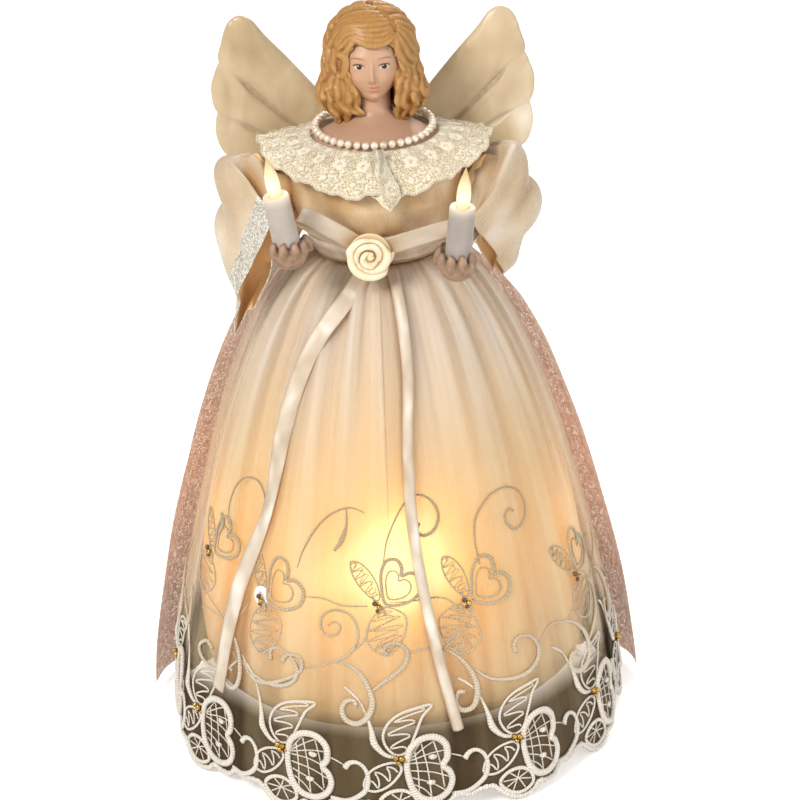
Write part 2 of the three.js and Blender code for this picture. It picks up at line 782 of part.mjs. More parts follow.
// Wings: four padded feather lobes each, sewn together along the grooves between them.
// Shares run outwards from the wing's root across its span, and upwards over its height.
const lobeShares = [
  [
    [0.03, 0.44], [0.1, 0.54], [0.25, 0.66], [0.44, 0.8], [0.6, 0.91], [0.69, 0.98], [0.78, 1],
    [0.86, 0.965], [0.91, 0.88], [0.93, 0.79], [0.76, 0.69], [0.56, 0.57], [0.36, 0.46], [0.17, 0.38],
  ],
  [
    [0.905, 0.8], [0.975, 0.735], [1, 0.66], [0.96, 0.565], [0.76, 0.5], [0.5, 0.405],
    [0.28, 0.31], [0.12, 0.32], [0.18, 0.41], [0.36, 0.49], [0.56, 0.6], [0.76, 0.72],
  ],
  [
    [0.94, 0.575], [0.985, 0.5], [0.965, 0.42], [0.9, 0.365], [0.7, 0.315], [0.45, 0.25],
    [0.22, 0.21], [0.1, 0.26], [0.13, 0.34], [0.28, 0.34], [0.5, 0.435], [0.76, 0.53],
  ],
  [
    [0.88, 0.38], [0.9, 0.3], [0.85, 0.19], [0.73, 0.12], [0.5, 0.11], [0.26, 0.13],
    [0.1, 0.18], [0.12, 0.26], [0.26, 0.25], [0.45, 0.28], [0.7, 0.345],
  ],
];
const crownShares = [
  [1, 0],
  [0.8, 0.68],
  [0.4, 1],
];
// A padded lobe: copies of its outline drawn in towards its middle and raised to a crown on both faces
function pad(outline, thickness, edge) {
  const flat = outline.reduce((sum, p) => sum.add(p), point(0, 0, 0)).divideScalar(outline.length);
  const face = (side) =>
    crownShares.map(([outward, raised]) =>
      outline.map((p) => {
        const q = flat.clone().lerp(p, outward);
        q.y += side * between(edge / 2, thickness / 2, raised);
        return q;
      }),
    );
  return loft([...face(-1).reverse(), ...face(1)]);
}
const wingBaseZ = shoulderZ - wing.below;
const cardBackY = bodiceFoot + 2 * clear + card.thickness;
const wingY = cardBackY + clear + wing.thickness / 2;
for (const [name, side] of [
  ["left", -1],
  ["right", 1],
]) {
  const lobes = lobeShares.map((shares) => {
    const outline = new THREE.CatmullRomCurve3(
      shares.map(([out, up]) =>
        point(side * (wing.root + wing.span * out), wingY, wingBaseZ + wing.height * up),
      ),
      true,
    );
    return pad(outline.getSpacedPoints(facets.lobeSides).slice(1), wing.thickness, wing.edge);
  });
  add(`${name}_wing`, joined(...lobes), satin);
}
add(
  "wing_card",
  new THREE.BoxGeometry(2 * card.halfWidth, card.thickness, card.height).translate(
    0,
    cardBackY - card.thickness / 2,
    shoulderZ - card.below + card.height / 2,
  ),
  greyCard,
);

// Sash round the foot of the bodice
const sashZ = waistZ + sash.above;
const bodiceSkin = (z) => {
  const up = (z - bodiceBottomZ) / (bodiceTopZ - bodiceBottomZ);
  const k = Math.max(
    0,
    bodiceShares.findLastIndex(([at]) => at <= up),
  );
  const [low, high] = [bodiceShares[k], bodiceShares[k + 1]];
  const mix = (column) => between(low[column], high[column], (up - low[0]) / (high[0] - low[0]));
  return {
    halfWidth: between(bodiceFoot, bodice.halfWidth, mix(1)),
    front: between(bodiceFoot, bodice.front, mix(2)),
    back: between(bodiceFoot, bodice.back, mix(3)),
  };
};
const sashFace = (out) => (u, v) => {
  const z = sashZ + sash.width * v;
  const skin = bodiceSkin(z);
  const angle = turn(u);
  const depth = Math.cos(angle) > 0 ? skin.front : skin.back;
  return point((skin.halfWidth + out) * Math.sin(angle), -(depth + out) * Math.cos(angle), z);
};
const sashOut = clear + ribbonThickness;
add("sash", sheet(sashFace(sashOut), sashFace(clear), facets.bodiceSides, 2, true), ribbonSatin);

// The rose: a ribbon coiled on a stiff disc, sewn to the front of the sash
const roseZ = waistZ + rose.rise;
const bowY = -(bodiceSkin(roseZ + rose.radius / 2).front + bow.depth + ribbonThickness + 3 * clear);
const roseBackY = bowY - bow.depth - ribbonThickness - clear;
function roseCoil() {
  const turns = 2.75;
  const steps = 34;
  const rings = Array.from({ length: steps + 1 }, (_, k) => {
    const along = k / steps;
    const radius = between(rose.tightest, rose.radius - rose.wall, along);
    const angle = turn(turns * along);
    const top = rose.back + rose.height * between(1.25, 0.75, along);
    const lean = rose.wall * along;
    return [
      [radius, rose.back / 2],
      [radius + rose.wall, rose.back / 2],
      [radius + rose.wall + lean, top],
      [radius + lean, top],
    ].map(([r, z]) => point(r * Math.cos(angle), r * Math.sin(angle), z));
  });
  return loft(rings);
}
const roseDisc = new THREE.CylinderGeometry(rose.radius, rose.radius * 0.8, rose.back, 28)
  .rotateX(Math.PI / 2)
  .translate(0, 0, rose.back / 2);
const roseMesh = add("ribbon_rose", joined(roseDisc, roseCoil()), ribbonSatin);
roseMesh.position.set(-rose.left, roseBackY, roseZ);
roseMesh.rotation.x = Math.PI / 2;

// A ribbon along a path: it is as wide as its side vectors and lies across its normals
function ribbon(pathAt, sideAt, normalAt, steps) {
  const face = (lift) => (u, v) =>
    pathAt(v)
      .addScaledVector(sideAt(v), ribbonWidth * (u - 0.5))
      .addScaledVector(normalAt(v), lift);
  return sheet(face(ribbonThickness), face(0), 1, steps, false);
}

// The bow's two loops: each goes out from behind the rose in front, turns, and comes back behind itself
const loopAngles = { left: [143, 158], right: [17, 8] };
for (const name of ["left", "right"]) {
  const length = name === "left" ? bow.leftLength : bow.rightLength;
  const slant = (v) => radians(between(...loopAngles[name], v));
  const reach = (v) => bow.root + length * Math.sin(Math.PI * v);
  const pathAt = (v) =>
    point(
      -rose.left + Math.cos(slant(v)) * reach(v),
      bowY - bow.depth * Math.cos(Math.PI * v),
      roseZ + Math.sin(slant(v)) * reach(v),
    );
  const sideAt = (v) => point(-Math.sin(slant(v)), 0, Math.cos(slant(v)));
  const normalAt = (v) => {
    const along = pathAt(Math.min(1, v + 0.01)).sub(pathAt(Math.max(0, v - 0.01)));
    return along.cross(sideAt(v)).normalize();
  };
  add(`bow_${name}_loop`, ribbon(pathAt, sideAt, normalAt, 16), ribbonSatin);
}

// The two long tails, which lie on the overskirt. Shares: how far down, and the angle round from the front.
const tailShares = {
  left: [[0, -11], [0.1, -17], [0.2, -26], [0.34, -31], [0.52, -35], [0.74, -44], [1, -50]],
  right: [[0, 11], [0.1, 16], [0.2, 18], [0.34, 14], [0.52, 9], [0.74, 9], [1, 17]],
};
for (const name of ["left", "right"]) {
  const endZ = name === "left" ? tails.leftEndZ : tails.rightEndZ;
  const topZ = waistZ - 2 * clear;
  const places = tailShares[name].map(([down, degrees]) => point(down, degrees, 0));
  const curve = new THREE.CatmullRomCurve3(places, false, "catmullrom", 0.5);
  const onSkirt = (v, lift = 0) => {
    const { x, y } = curve.getPoint(v);
    const z = between(topZ, endZ, x);
    const bare = overRadius(z);
    const underRibbon = [-1, -0.5, 0, 0.5, 1].map((k) => overFold(radians(y) + (k * ribbonWidth) / bare, z));
    const chord = ribbonWidth ** 2 / (8 * bare);
    return aroundPoint(radians(y), bare + Math.max(...underRibbon) + chord + clear + lift, z);
  };
  const normalAt = (v) => onSkirt(v, 1).sub(onSkirt(v));
  const sideAt = (v) => {
    const along = onSkirt(Math.min(1, v + 0.01)).sub(onSkirt(Math.max(0, v - 0.01)));
    return along.cross(normalAt(v)).normalize();
  };
  add(`${name}_tail`, ribbon((v) => onSkirt(v), sideAt, normalAt, 26), ribbonSatin);
}

// One arm: the wire, its sleeve, the hand and the candle. It swings about the shoulder wire.
const pivotY = shoulderWire.back;
const armholeX = bodice.armhole + clear;
// A sleeve's sections from the shoulder to the mouth, right-hand side. Each is its top point, bottom point
// and half-width, as shares of the sleeve's sizes: outwards from the armhole, forwards and downwards.
const sleeveShares = {
  left: [
    [[0, 0, -0.236], [0, 0, 0.415], 0.962],
    [[0.363, 0.108, -0.242], [0.363, 0, 0.45], 1],
    [[0.758, 0.297, -0.302], [0.696, 0.135, 0.585], 0.962],
    [[0.488, 0.73, -0.151], [0.821, 0.324, 0.83], 0.8],
    [[0.12, 1, 0.02], [0.988, 0.486, 1], 0.7],
  ],
  right: [
    [[0, 0, -0.236], [0, 0, 0.415], 0.962],
    [[0.363, 0.081, -0.242], [0.363, 0, 0.45], 1],
    [[0.696, 0.297, -0.264], [0.696, 0.162, 0.434], 0.962],
    [[0.488, 0.703, -0.094], [0.738, 0.378, 0.547], 0.86],
    [[0.07, 1, 0.132], [0.571, 0.595, 0.623], 0.72],
  ],
};
function sleeveShape(name) {
  const sections = sleeveShares[name];
  const placed = ([out, ahead, down]) =>
    point(armholeX + sleeve.spread * out, pivotY - sleeve.reach * ahead, shoulderZ - sleeve.drop * down);
  const topLine = new THREE.CatmullRomCurve3(sections.map(([top]) => placed(top)));
  const bottomLine = new THREE.CatmullRomCurve3(sections.map(([, bottom]) => placed(bottom)));
  const halfWidths = sections.map(([, , share]) => point(sleeve.halfWidth * share, 0, 0));
  const widths = new THREE.CatmullRomCurve3(halfWidths);
  const middle = (v) => topLine.getPoint(v).lerp(bottomLine.getPoint(v), 0.5);
  const headShare = 0.2;
  const face = (inset) => (u, v) => {
    const up = topLine.getPoint(v).sub(bottomLine.getPoint(v));
    const tall = up.length() / 2 - inset;
    up.normalize();
    const way = middle(Math.min(1, v + 0.02)).sub(middle(Math.max(0, v - 0.02))).normalize();
    if (v < headShare) way.lerp(point(1, 0, 0), 1 - v / headShare).normalize();
    const across = up.clone().cross(way).normalize();
    const wide = widths.getPoint(v).x - inset;
    const angle = turn(u);
    const fold = 1 + sleeveFoldShare * v * Math.cos(sleeveFolds * angle);
    return middle(v)
      .addScaledVector(up, tall * Math.cos(angle) * fold)
      .addScaledVector(across, wide * Math.sin(angle) * fold);
  };
  const made = sheet(face(0), face(cloth), facets.sleeveSides, 7, true);
  return name === "left" ? mirrored(made) : made;
}
// The same shape on the other side, with its faces turned to point outwards again
function mirrored(geometry) {
  const places = geometry.attributes.position;
  const points = Array.from({ length: places.count }, (_, i) =>
    point(-places.getX(i), places.getY(i), places.getZ(i)),
  );
  const index = geometry.index.array;
  const triangles = Array.from({ length: index.length / 3 }, (_, i) => [...index.slice(3 * i, 3 * i + 3)]);
  return closedGeometry(points, triangles);
}

// The places and routes that a side's arm, hand and candle share, stated for the right-hand side
function armPlan(name) {
  const drop = wristDrop[name];
  const wrist = point(wristX[name], pivotY - arm.fore, shoulderZ - drop);
  const palm = wrist.clone().add(point(0, -hand.radius, -hand.height / 2));
  // A piece stated upright at the origin goes onto the candle's leaning axis above the palm
  const onCandleAxis = (geometry) =>
    geometry
      .rotateX(radians(candleLeanDegrees.forward))
      .rotateY(radians(candleLeanDegrees[name]))
      .translate(palm.x, palm.y, palm.z);
  const onAxis = (height) => {
    const lean = new THREE.Matrix4().makeRotationY(radians(candleLeanDegrees[name]));
    lean.multiply(new THREE.Matrix4().makeRotationX(radians(candleLeanDegrees.forward)));
    return point(0, 0, height).applyMatrix4(lean).add(palm);
  };
  const elbowX = arm.eyeFrom + arm.reach;
  const under = 2 * arm.radius;
  const armRoute = [
    point(arm.eyeFrom + arm.eyeWidth / 2, pivotY - arm.eye + clear, shoulderZ),
    point(elbowX, pivotY - arm.fore * 0.25, shoulderZ - drop * 0.18),
    point(between(elbowX, wrist.x, 0.3), pivotY - arm.fore * 0.6, shoulderZ - drop * 0.62),
    wrist,
  ];
  const leadRoute = [
    point(leadExit.x + clear, leadExit.y, leadExit.z),
    point(leadExit.x + 2 * wire.behind, leadExit.y - wire.behind, leadExit.z - clear),
    point(elbowX, pivotY - arm.fore * 0.3, shoulderZ - drop * 0.3 - under),
    point(between(elbowX, wrist.x, 0.4), pivotY - arm.fore * 0.65, shoulderZ - drop * 0.75 - under),
    wrist.clone().add(point(0, hand.wristLength * 0.4, -under - clear)),
    palm.clone().add(point(0, hand.radius * 0.75, -hand.height * 0.3)),
    onAxis(candleFoot - 2 * wire.lead),
    onAxis(candleFoot + candle.wireHole),
  ];
  return { wrist, palm, armRoute, leadRoute, onCandleAxis };
}
const candleFoot = candle.seat;
const candleTop = candleFoot + candle.length;

// A cupped hand under the candle: palm, curled fingers in front, a thumb and a wrist
function handShape({ wrist, palm, armRoute, leadRoute, onCandleAxis }) {
  const palmBowl = new THREE.SphereGeometry(1, 10, 7).scale(hand.radius, hand.radius * 0.92, hand.height);
  const digit = () => new THREE.SphereGeometry(1, 5, 4).scale(hand.finger, hand.finger, hand.fingerLength);
  const parts = [palmBowl.translate(palm.x, palm.y, palm.z)];
  for (let k = 0; k < fingerCount; k++) {
    const angle = radians(between(-58, 52, k / (fingerCount - 1)));
    parts.push(
      digit().translate(
        palm.x + hand.radius * 0.95 * Math.sin(angle),
        palm.y - hand.radius * 0.9 * Math.cos(angle),
        palm.z + hand.height * 0.32,
      ),
    );
  }
  parts.push(
    digit()
      .rotateY(radians(20))
      .translate(palm.x - hand.radius, palm.y + hand.finger, palm.z + hand.height * 0.45),
    new THREE.CylinderGeometry(hand.wrist, hand.wrist * 1.12, hand.wristLength, 10).translate(
      wrist.x,
      wrist.y + hand.wristLength * 0.12,
      wrist.z,
    ),
  );
  const seatRadius = candle.radius + clear;
  const seat = new THREE.CylinderGeometry(seatRadius, seatRadius, candle.length, facets.candleSides)
    .rotateX(Math.PI / 2)
    .translate(0, 0, candleFoot - clear + candle.length / 2);
  const armEnd = 1.4 * arm.radius;
  return cut(
    joined(...parts),
    onCandleAxis(seat),
    rod(armRoute, arm.radius + clear, 8, 6),
    blob(wrist.x, wrist.y, wrist.z, armEnd, armEnd, armEnd),
    rod(leadRoute, wire.lead + 2 * clear, 5, 10),
  );
}

for (const [name, side] of [
  ["left", -1],
  ["right", 1],
]) {
  const plan = armPlan(name);
  const { armRoute, leadRoute, onCandleAxis } = plan;
  const place = (geometry) => (side < 0 ? mirrored(geometryOf(solid(geometry))) : geometry);
  const eyeX = arm.eyeFrom + arm.eyeWidth / 2;
  const eye = cut(
    crossRod(arm.eyeWidth / 2, arm.eye, pivotY, shoulderZ, 14).translate(eyeX, 0, 0),
    crossRod(arm.eyeWidth, shoulderWire.radius + running, pivotY, shoulderZ).translate(eyeX, 0, 0),
  );
  add(`${name}_arm`, place(joined(eye, rod(armRoute, arm.radius, 8, 6))), steel);
  add(`${name}_sleeve`, sleeveShape(name), satin);
  add(`${name}_hand`, place(handShape(plan)), handBisque);
  add(`${name}_candle_lead`, place(rod(leadRoute, wire.lead, facets.wireSides, 10)), ivoryWire);
  const shell = turned(
    [
      [candle.wireHole, candleFoot],
      [candle.radius, candleFoot],
      [candle.radius * 0.96, candleTop - candle.lip],
      [candle.radius * 0.96 - candle.lip / 2, candleTop],
      [candle.bore, candleTop],
      [candle.bore, candleTop - candle.boreDepth],
      [candle.wireHole, candleTop - candle.boreDepth],
      [candle.wireHole, candleFoot],
    ],
    facets.candleSides,
  );
  add(`${name}_candle`, place(onCandleAxis(shell)), whitePlastic);
  add(`${name}_candle_bulb`, place(onCandleAxis(flameShape())), litGlass);
}

// The candle's bulb: a plain base and a flame-shaped glass with a drawn-out tip
function flameShape() {
  const glassShares = [
    [0.8, 0],
    [1, 0.25],
    [1, 0.6],
    [0.62, 0.9],
    [0.22, 1],
  ];
  const seat = candleTop + clear;
  return turned(
    [
      [0, candleTop - flame.baseDepth],
      [flame.base, candleTop - flame.baseDepth],
      [flame.base, seat],
      ...glassShares.map(([across, up]) => [flame.radius * across, seat + flame.height * up]),
      [0, seat + flame.height + flame.tip],
    ],
    facets.bulbSides,
  );
}

export default topper;
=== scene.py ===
import math
import bpy
import numpy as np
from mathutils import Matrix, Vector


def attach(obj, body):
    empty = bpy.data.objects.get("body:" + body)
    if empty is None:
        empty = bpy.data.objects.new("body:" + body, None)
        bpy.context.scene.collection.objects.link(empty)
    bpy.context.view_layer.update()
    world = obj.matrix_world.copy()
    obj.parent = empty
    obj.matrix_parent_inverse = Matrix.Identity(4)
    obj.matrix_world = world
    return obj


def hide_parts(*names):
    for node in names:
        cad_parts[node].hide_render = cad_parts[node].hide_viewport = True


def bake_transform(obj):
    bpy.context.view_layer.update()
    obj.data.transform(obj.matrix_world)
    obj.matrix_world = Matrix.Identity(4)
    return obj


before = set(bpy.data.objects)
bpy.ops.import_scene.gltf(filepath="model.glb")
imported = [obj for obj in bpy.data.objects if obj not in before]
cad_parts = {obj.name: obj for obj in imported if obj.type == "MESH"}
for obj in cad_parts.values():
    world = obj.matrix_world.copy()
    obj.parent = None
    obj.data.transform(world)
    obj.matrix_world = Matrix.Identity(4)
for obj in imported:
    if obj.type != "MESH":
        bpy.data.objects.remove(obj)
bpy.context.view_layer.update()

# ---- Lamp base ----
# The stand inside the skirt: a board tube that slips over the tree's leader, a translucent plastic cone that
# holds the cloth out, and a moulded plate with eight small lamps. They stay as the CAD made them, in plastic,
# board, glass and wire finishes.
MM = 0.001


def dye(web):
    """A colour as it is written on a dye chart, in Blender's own linear numbers."""
    parts = [int(web[k : k + 2], 16) / 255 for k in (1, 3, 5)]
    return tuple(p / 12.92 if p <= 0.04045 else ((p + 0.055) / 1.055) ** 2.4 for p in parts) + (1.0,)


def tree_of(start):
    """The node tree of a finish, or the one that a socket belongs to."""
    return start.id_data if isinstance(start, bpy.types.NodeSocket) else start.node_tree


def node(start, kind, wires=(), **settings):
    """Adds a shader node: wires are its sockets' values, or other nodes' outputs to join to them."""
    made = tree_of(start).nodes.new("ShaderNode" + kind)
    for key, value in settings.items():
        setattr(made, key, value)
    for key, value in dict(wires).items():
        if isinstance(value, bpy.types.NodeSocket):
            tree_of(start).links.new(value, made.inputs[key])
        else:
            made.inputs[key].default_value = value
    return made


def surface_of(start):
    return tree_of(start).nodes["Principled BSDF"]


def wire_to(source, *sockets):
    for socket in sockets:
        tree_of(source).links.new(source, surface_of(source).inputs[socket])


def new_finish(name, roughness, **sockets):
    finish = bpy.data.materials.new(name)
    finish.use_nodes = True
    surface_of(finish).inputs["Roughness"].default_value = roughness
    for key, value in sockets.items():
        surface_of(finish).inputs[key.replace("_", " ")].default_value = value
    return finish


def graded(amount, stops):
    """A colour ramp from (place, dye) stops."""
    ramp = node(amount, "ValToRGB", {"Fac": amount})
    bar = ramp.color_ramp
    while len(bar.elements) < len(stops):
        bar.elements.new(0.5)
    for element, (place, colour) in zip(bar.elements, stops):
        element.position = place
        element.color = dye(colour)
    return ramp.outputs["Color"]


def ranged(value, low, high, to_low=0.0, to_high=1.0, soft=False):
    """A value moved from one range to another, and held within it."""
    kind = "SMOOTHSTEP" if soft else "LINEAR"
    wires = {"Value": value, "From Min": low, "From Max": high, "To Min": to_low, "To Max": to_high}
    return node(value, "MapRange", wires, interpolation_type=kind).outputs["Result"]


def where(finish, kind="Object", stretch=(1, 1, 1)):
    spot = node(finish, "TexCoord").outputs[kind]
    return node(finish, "Mapping", {"Vector": spot, "Scale": stretch}).outputs["Vector"]


def speckle(finish, size, kind="Object", stretch=(1, 1, 1), detail=3.0):
    """Noise in patches of about size mm. UV maps here are in mm of cloth, Object coordinates in metres."""
    per = 1.0 / size if kind == "UV" else 1.0 / (size * MM)
    spot = where(finish, kind, stretch)
    return node(finish, "TexNoise", {"Vector": spot, "Scale": per, "Detail": detail}).outputs["Fac"]


def emboss(height, depth):
    """Raises a finish's surface by a height, depth in mm."""
    bump = node(height, "Bump", {"Height": height, "Distance": depth * MM, "Strength": 1.0})
    wire_to(bump.outputs["Normal"], "Normal")


def moulded(name, colours, patch, roughness, grain, depth, **sockets):
    """A plain moulded or painted finish: drifting colour, uneven shine and a fine grain."""
    finish = new_finish(name, roughness, **sockets)
    drift = speckle(finish, patch)
    wire_to(graded(drift, [(0.35, colours[0]), (0.65, colours[1])]), "Base Color")
    wire_to(ranged(drift, 0.3, 0.7, roughness - 0.06, roughness + 0.08), "Roughness")
    emboss(speckle(finish, grain, detail=4.0), depth)
    return finish


def dress(node_name, finish):
    """Gives a piece of the CAD frame its finish."""
    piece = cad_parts[node_name]
    piece.data.materials.clear()
    piece.data.materials.append(finish)


white_plastic = moulded("white moulded plastic", ("#F0ECE6", "#E4DED4"), 14, 0.38, 1.2, 0.04)
cone_plastic = moulded("milky cone plastic", ("#F3E2BE", "#E9D2A4"), 22, 0.5, 2.0, 0.05)
tube_board = moulded("wound paper board", ("#CDBFA8", "#B9A88E"), 9, 0.85, 0.5, 0.08)
wire_cover = moulded("ivory wire cover", ("#EDE6D6", "#DFD5C0"), 6, 0.45, 0.8, 0.02)
steel_wire = moulded("bright steel wire", ("#B4B4B2", "#9C9C9A"), 3, 0.3, 0.4, 0.01, Metallic=0.9)

lamp_glow = new_finish("small lamp, lit", 0.15, Coat_Weight=0.6, Emission_Color=dye("#FFD27A"))
wire_to(graded(speckle(lamp_glow, 4), [(0.3, "#FFE7A8"), (0.7, "#FFD98A")]), "Base Color")
wire_to(ranged(speckle(lamp_glow, 3), 0.3, 0.7, 1.2, 2.0), "Emission Strength")
emboss(speckle(lamp_glow, 1.5), 0.03)

dress("socket_tube", tube_board)
dress("skirt_cone", cone_plastic)
for name in ("tube_collar", "lamp_plate"):
    dress(name, white_plastic)
for k in range(1, 9):
    dress(f"lamp_holder_{k}", white_plastic)
    dress(f"lamp_bulb_{k}", lamp_glow)
for name in ("wire_ring", "left_lead", "right_lead", "left_candle_lead", "right_candle_lead"):
    dress(name, wire_cover)

# ---- Body form, shoulder wire and arm wires ----
# A hollow pressed body that the gown is dressed on, with the wire through its shoulders that both arms swing
# on. The arms are bent steel wire with an eye at the shoulder. The wings' card is glued behind.
body_pulp = moulded("pressed paper body", ("#D8CBB4", "#C8B89C"), 7, 0.9, 0.6, 0.12)
grey_card = moulded("pasted card", ("#CFC6B6", "#BDB29E"), 8, 0.9, 0.4, 0.05)
dress("torso_form", body_pulp)
dress("wing_card", grey_card)
for name in ("shoulder_wire", "left_arm", "right_arm"):
    dress(name, steel_wire)

# ---- Underskirt ----
# Ivory satin, gathered into the waist seam over the cone and turned in under its rim. The eight lamps shine
# through it, so it glows warm, most where a bulb sits close behind the cloth.
WAIST = 176.0  # height of the waist seam
RIM = 22.0  # height of the cone's rim, where the satin turns in


def pick(*pieces):
    """Selects these pieces only, with the first one active."""
    bpy.ops.object.select_all(action="DESELECT")
    for piece in pieces:
        piece.select_set(True)
    bpy.context.view_layer.objects.active = pieces[0]


def on_whole_mesh(step, **settings):
    """One of Blender's mesh operators on all of the active piece."""
    bpy.ops.object.mode_set(mode="EDIT")
    bpy.ops.mesh.select_all(action="SELECT")
    step(**settings)
    bpy.ops.object.mode_set(mode="OBJECT")


def points_of(piece):
    spots = np.empty(len(piece.data.vertices) * 3)
    piece.data.vertices.foreach_get("co", spots)
    return spots.reshape(-1, 3)


def move_points(piece, spots):
    piece.data.vertices.foreach_set("co", spots.ravel())
    piece.data.update()


def lay_cloth(name, across, along, place, flat, closed=False):
    """A grid laid into shape: place(u, v) gives the points in mm. Its UV map is the flat cloth in mm."""
    bpy.ops.object.select_all(action="DESELECT")
    bpy.ops.mesh.primitive_grid_add(x_subdivisions=across, y_subdivisions=along, size=1)
    piece = bpy.context.object
    piece.name = piece.data.name = name
    mesh = piece.data
    spots = points_of(piece)
    spots = np.stack(place(spots[:, 0] + 0.5, spots[:, 1] + 0.5), 1) * MM
    marks = np.empty(len(mesh.loops) * 2)
    mesh.uv_layers.active.data.foreach_get("uv", marks)
    marks = (marks.reshape(-1, 2) * np.array(flat)).ravel()
    mesh.uv_layers.active.data.foreach_set("uv", marks)
    move_points(piece, spots)
    if closed:
        on_whole_mesh(bpy.ops.mesh.remove_doubles, threshold=0.000001)
    middle = Vector(spots.mean(0))
    if sum(f.normal.dot(f.center - middle) * f.area for f in mesh.polygons) < 0:
        on_whole_mesh(bpy.ops.mesh.flip_normals)
    bpy.ops.object.shade_smooth()
    return piece


def apply_all(piece):
    pick(piece)
    for modifier in list(piece.modifiers):
        bpy.ops.object.modifier_apply(modifier=modifier.name)


def thicken(piece, thickness, inner_slot=0):
    """Gives laid cloth its thickness in mm, inwards from the shape it was laid in."""
    wall = piece.modifiers.new("cloth thickness", "SOLIDIFY")
    wall.thickness = thickness * MM
    wall.offset = -1.0
    wall.material_offset = inner_slot
    apply_all(piece)


def maths(action, *parts, clamp=False):
    """One Math node; at least one of its parts is another node's output."""
    start = [part for part in parts if isinstance(part, bpy.types.NodeSocket)][0]
    return node(start, "Math", enumerate(parts), operation=action, use_clamp=clamp).outputs[0]


def plus(*parts, clamp=False):
    return maths("ADD", *parts, clamp=clamp)


def minus(*parts, clamp=False):
    return maths("SUBTRACT", *parts, clamp=clamp)


def times(*parts):
    return maths("MULTIPLY", *parts)


def place_of(finish, kind="Object"):
    """Where a spot of the finish is, as its separate X, Y and Z."""
    return node(finish, "SeparateXYZ", {"Vector": node(finish, "TexCoord").outputs[kind]}).outputs


def threads(finish, pitch, direction):
    """The ups and downs of threads that lie side by side at a pitch in mm, on the piece's own UV map."""
    wave_at_scale_1 = 0.314  # the length of one wave of a wave texture of scale 1
    wires = {"Vector": where(finish, "UV"), "Scale": wave_at_scale_1 / pitch}
    return node(finish, "TexWave", wires, bands_direction=direction).outputs["Fac"]


def drape(angle):
    """The gown's broad upright folds, from -1 in a hollow to 1 on a ridge."""
    return 0.55 * np.cos(11 * angle) + 0.28 * np.cos(7 * angle + 1.3) + 0.17 * np.cos(4 * angle + 0.5)


def bell(z, waist_at, hem_at, at_waist, at_hem):
    """The radius of a bell-shaped skirt between its waist and its hem."""
    fullness = 1.5
    rise = np.clip((z - hem_at) / (waist_at - hem_at), 0, 1)
    return at_waist + (at_hem - at_waist) * (1 - rise**fullness) ** (1 / fullness)


def under_radius(z):
    """The satin's bell, rounded in below the cone's rim."""
    turn_in = np.clip((RIM - z) / RIM, 0, 1)
    return np.where(z >= RIM, bell(z, WAIST, RIM, 23.6, 80), 74.1 + 5.9 * np.sqrt(1 - turn_in**2))


def waist_fade(z):
    """How far the folds have opened: 0 at the waist seam, 1 from 27 mm below it."""
    return np.clip((WAIST - z) / 27, 0, 1)


def pleats(angle, z, count, reach):
    """Small gathers at the waist seam that open out and fade as the cloth falls."""
    down = np.clip((WAIST - z) / reach, 0, 1)
    wander = angle + 0.02 * np.sin(5 * angle + 3 * down)
    shape = np.cos(count * wander) + 0.5 * np.cos((count * 0.618) * wander + 2.0)
    return shape * np.minimum(1, down * 8) * (1 - down) ** 1.5


def around(angle, radius, z):
    """A point on a ring about the middle: angles run from the front towards +X."""
    return radius * np.sin(angle), -radius * np.cos(angle), z


def underskirt_place(u, v):
    angle = 2 * np.pi * u
    z = WAIST * (1 - v**1.5)
    fold = 1.6 * waist_fade(z) * drape(angle) * np.clip(z / RIM, 0, 1)
    return around(angle, under_radius(z) + fold + 0.35 * pleats(angle, z, 46, 90), z)


underskirt = lay_cloth("underskirt_satin", 300, 90, underskirt_place, (503, 215), closed=True)
thicken(underskirt, 0.5)

lit_satin = new_finish("ivory satin, lit from inside", 0.42, Sheen_Weight=0.25)
spot = node(lit_satin, "TexCoord").outputs["Object"]
height = place_of(lit_satin)["Z"]
up = ranged(height, 0.0, WAIST * MM)
weft = times(minus(speckle(lit_satin, 26, "UV", (3, 0.5, 1)), 0.5), 0.16)
# Painted shade and lamp light: the satin runs from tan low down, where it turns in under the rim, through warm
# orange near the lamps to cream at the waist.
shade = graded(
    plus(up, weft, clamp=True),
    [(0.0, "#AC8660"), (0.08, "#C4966A"), (0.25, "#D4A468"), (0.5, "#E2BB86"), (0.75, "#EAD3AC"),
     (0.92, "#EEDFC6")],
)
wire_to(shade, "Base Color")
# Where each bulb's light falls on the cloth: degrees round, height, reach in mm and strength
glow_places = [(2.5, 69, 18, 1.3), (-3, 62, 44, 0.37), (10, 88, 15, 0.35), (22, 62, 13, 0.15),
               (-27, 62, 18, 0.4), (-12, 97, 34, 0.16), (45, 66, 26, 0.16), (-62, 62, 26, 0.18),
               (80, 58, 26, 0.5), (125, 60, 28, 0.6), (180, 60, 28, 0.6), (235, 60, 28, 0.6),
               (280, 60, 28, 0.5)]
glow = None
for degrees, level, reach, strength in glow_places:
    x, y, z = around(math.radians(degrees), float(under_radius(np.array(level))), level)
    wires = {0: spot, 1: (x * MM, y * MM, z * MM)}
    far = node(lit_satin, "VectorMath", wires, operation="DISTANCE").outputs["Value"]
    fall = maths("POWER", maths("DIVIDE", far, reach * MM), 2.0)
    light = times(maths("EXPONENT", times(fall, -1.0)), strength)
    glow = light if glow is None else plus(glow, light)
body_light = ranged(height, 0.16, 0.06, 0.0, 0.10, soft=True)
wire_to(plus(glow, body_light), "Emission Strength")
wire_to(graded(glow, [(0.0, "#E39A48"), (0.35, "#EDAA50"), (0.75, "#F6C668"), (1.0, "#FFE79A")]),
        "Emission Color")
satin_grain = plus(threads(lit_satin, 0.4, "X"), times(speckle(lit_satin, 7, "UV", (4, 0.4, 1)), 6.0))
emboss(satin_grain, 0.05)
underskirt.data.materials.append(lit_satin)
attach(underskirt, "figure")
